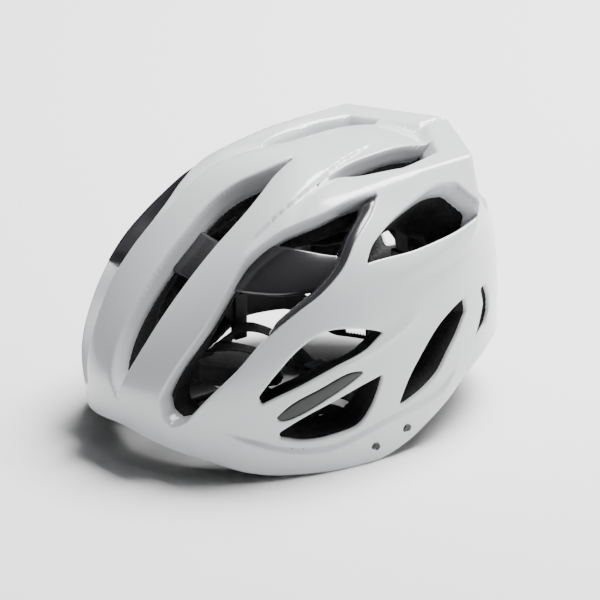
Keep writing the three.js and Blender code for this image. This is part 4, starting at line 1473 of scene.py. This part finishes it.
@dataclass
class Straps:
    """The folded webs with their cam locks, the open buckle, and the tail's keeper."""

    width: float = 15.0
    thickness: float = 1.1
    left_y: float = -45.0
    right_y: float = 40.0

    def build(self) -> None:
        """Makes every strap piece."""
        for name, route in WEB_ROUTES.items():
            body = "left_strap" if name.startswith("left") else "right_strap"
            put(self.web(name, route), WEBBING, body, name)
        self.cam_lock("left", 14.0, self.left_y)
        self.cam_lock("right", -14.0, self.right_y)
        self.socket()
        self.tongue()
        keeper = block("keeper_loop", (10, 30.4, 0.4), (14, 49.6, 7.6), 0.9)
        carve(keeper, block("slot", (8, 32, 1.5), (16, 48, 6.4), 0))
        put(keeper, BLACK_PLASTIC, "keeper", "tail_keeper")

    def web(self, name: str, route: Sequence[Place]) -> bpy.types.Object:
        """A flat web along a route, with its width level and its own map along its run."""
        points = np.array(route, float)
        path = resample(spline(points, closed=False, steps=12), 1.2, closed=False)
        run = unit(np.gradient(path, axis=0))
        across = unit(np.cross(np.array([0.0, 0.0, 1.0]), run))
        up = np.cross(run, across)
        profile = rounded(self.width - 0.2, self.thickness, 0.45, 3)
        rows = (path[:, None] + across[:, None] * profile[None, :, :1]
                + up[:, None] * profile[None, :, 1:])
        piece = loft(f"{name}_weave", rows)
        far = measure(path, closed=False)[:len(path)]
        count = len(profile)
        layer = piece.data.uv_layers.new(name="weave")
        for loop in piece.data.loops:
            station, spot = divmod(loop.vertex_index, count)
            layer.data[loop.index].uv = (0.5 + profile[spot, 0] / self.width, far[station] * MM)
        return piece

    def cam_lock(self, word: str, x: float, y: float) -> None:
        """A slotted lock body and the lever on its top."""
        body = block(f"{word}_lock_case", (x - 12, y - 11, 0.2), (x + 12, y + 11, 6.2), 1.3)
        carve(body, block("slot", (x - 17, y - 8, 1.5), (x + 17, y + 8, 4.9), 0))
        for off in (-9.4, 9.4):
            carve(body, block("groove", (x - 8, y + off - 0.5, 5.7), (x + 8, y + off + 0.5, 8), 0))
        put(body, BLACK_PLASTIC, f"{word}_strap", f"{word}_cam_lock_body")
        lever = block(f"{word}_lock_flap", (x - 11, y - 7, 6.6), (x + 11, y + 7, 8.6), 0.7)
        for k in range(5):
            at = x + 3.4 + 1.5 * k
            carve(lever, block("grip", (at, y - 5.5, 8.2), (at + 0.7, y + 5.5, 10), 0))
        put(lever, GREY_PLASTIC, f"{word}_lever", f"{word}_cam_lock_lever")

    def socket(self) -> None:
        """The buckle's socket, open at its mouth and at its two side windows."""
        y = self.left_y
        body = block("socket_case", (-58, y - 13, 0.2), (-28, y + 13, 8.2), 1.8)
        carve(body, block("pocket", (-60, y - 10.5, 2), (-38, y + 10.5, 6.6), 0))
        carve(body, block("entry", (-35, y - 8, 1.4), (-23, y + 8, 5), 0))
        for sign in (-1, 1):
            low, high = sorted((y + sign * 9.5, y + sign * 15))
            carve(body, block("window", (-52, low, 2.2), (-43, high, 6.4), 0))
        put(body, BLACK_PLASTIC, "left_strap", "buckle_socket")

    def tongue(self) -> None:
        """The buckle's tongue with its middle bar, and the two spring prongs beside it."""
        y = self.right_y
        body = block("tongue_case", (28, y - 12, 0.2), (44, y + 12, 7.8), 1.5)
        carve(body, block("tail_slot", (23, y - 8, 1.4), (36, y + 8, 7), 0))
        carve(body, block("bar", (40, y - 2, 2.6), (56, y + 2, 6), 0.5), "UNION")
        put(body, BLACK_PLASTIC, "right_strap", "buckle_tongue")
        for word, sign in (("inner", -1), ("outer", 1)):
            outline = np.array([(0, 3.3), (6, 4.1), (13, 5.3), (12.6, 6.6), (10, 9.1), (7.2, 9.4),
                                (6.2, 7.3), (0, 6.5)]) * (1, sign)
            rows = []
            for z, inset in ((2.4, 0.35), (2.75, 0.0), (5.65, 0.0), (6.0, 0.35)):
                middle = outline.mean(axis=0)
                shape = middle + (outline - middle) * (1 - inset / 4)
                rows.append(np.column_stack([shape[:, 0] + 45, shape[:, 1] + y,
                                             np.full(len(shape), z)]))
            put(loft(f"{word}_spring_prong", np.array(rows)), BLACK_PLASTIC, f"{word}_prong",
                f"buckle_{word}_prong")


# ---- studio ----
@dataclass(frozen=True)
class Studio:
    """The pale floor, the soft lights and the camera."""

    azimuth: float = 50.0
    elevation: float = 22.4
    distance: float = 3.2
    lens: float = 302.8
    aim: tuple[float, float] = (0.00685, 0.064)

    def axes(self) -> tuple[Vector, Vector, Vector]:
        """The view's right, up and backward directions."""
        a, e = math.radians(self.azimuth), math.radians(self.elevation)
        right = Vector((math.cos(a), math.sin(a), 0))
        back = Vector((math.sin(a) * math.cos(e), -math.cos(a) * math.cos(e), math.sin(e)))
        return right, back.cross(right), back

    def camera(self) -> None:
        """Sets the scene's camera."""
        right, up, back = self.axes()
        target = right * self.aim[0] + up * self.aim[1] - Vector((0, DOME.mid_length * MM, 0))
        data = bpy.data.cameras.new("camera")
        data.lens = self.lens
        data.sensor_width = 36
        camera = bpy.data.objects.new("camera", data)
        turn = Matrix((right, up, back)).transposed().to_4x4()
        camera.matrix_world = Matrix.Translation(target + back * self.distance) @ turn
        bpy.context.scene.collection.objects.link(camera)
        bpy.context.scene.camera = camera

    def lamp(self, name: str, place: tuple[float, float, float], size: float, power: float) -> None:
        """Adds a soft square lamp that faces the helmet."""
        data = bpy.data.lights.new(name, "AREA")
        data.shape = "SQUARE"
        data.size = size
        data.energy = power
        lamp = bpy.data.objects.new(name, data)
        lamp.location = place
        back = Vector(place) - Vector((0, 0, 0.08))
        lamp.rotation_euler = back.to_track_quat("Z", "Y").to_euler()
        bpy.context.scene.collection.objects.link(lamp)

    def lights(self) -> None:
        """Adds the lamps and the pale surroundings."""
        self.lamp("overhead", (-0.1, 1.15, 2.05), 1.4, 215)
        self.lamp("rear_fill", (1.1, 1.9, 0.9), 0.8, 9)
        world = bpy.data.worlds.new("surroundings")
        world.use_nodes = True
        world.node_tree.nodes["Background"].inputs["Color"].default_value = (0.93, 0.96, 1, 1)
        world.node_tree.nodes["Background"].inputs["Strength"].default_value = 0.04
        bpy.context.scene.world = world

    def floor(self) -> None:
        """Lays the floor."""
        bpy.ops.mesh.primitive_plane_add(size=16, location=(0, 0, -0.0004))
        floor = bpy.context.object
        floor.name = "studio_floor"
        finish = bpy.data.materials.new("floor_paint")
        finish.use_nodes = True
        shader = finish.node_tree.nodes["Principled BSDF"]
        shader.inputs["Base Color"].default_value = (0.93, 0.93, 0.93, 1)
        shader.inputs["Roughness"].default_value = 0.8
        shader.inputs["Specular IOR Level"].default_value = 0.1
        floor.data.materials.append(finish)


def main() -> None:
    """Builds the helmet and its studio."""
    logging.basicConfig(level=logging.INFO, format="%(name)s: %(message)s")
    studio = Studio()
    studio.camera()
    studio.lights()
    studio.floor()
    put(ShellSkin().build(), WHITE_SHELL, "helmet", "outer_shell")
    put(FoamLiner().build(), BLACK_FOAM, "helmet", "eps_liner")
    Trim().build()
    FitRing().build()
    Straps().build()
    for pad in PADS:
        cloth = put(pad.build(), PAD_KNIT, pad.body, pad.node)


if __name__ == "__main__":
    main()
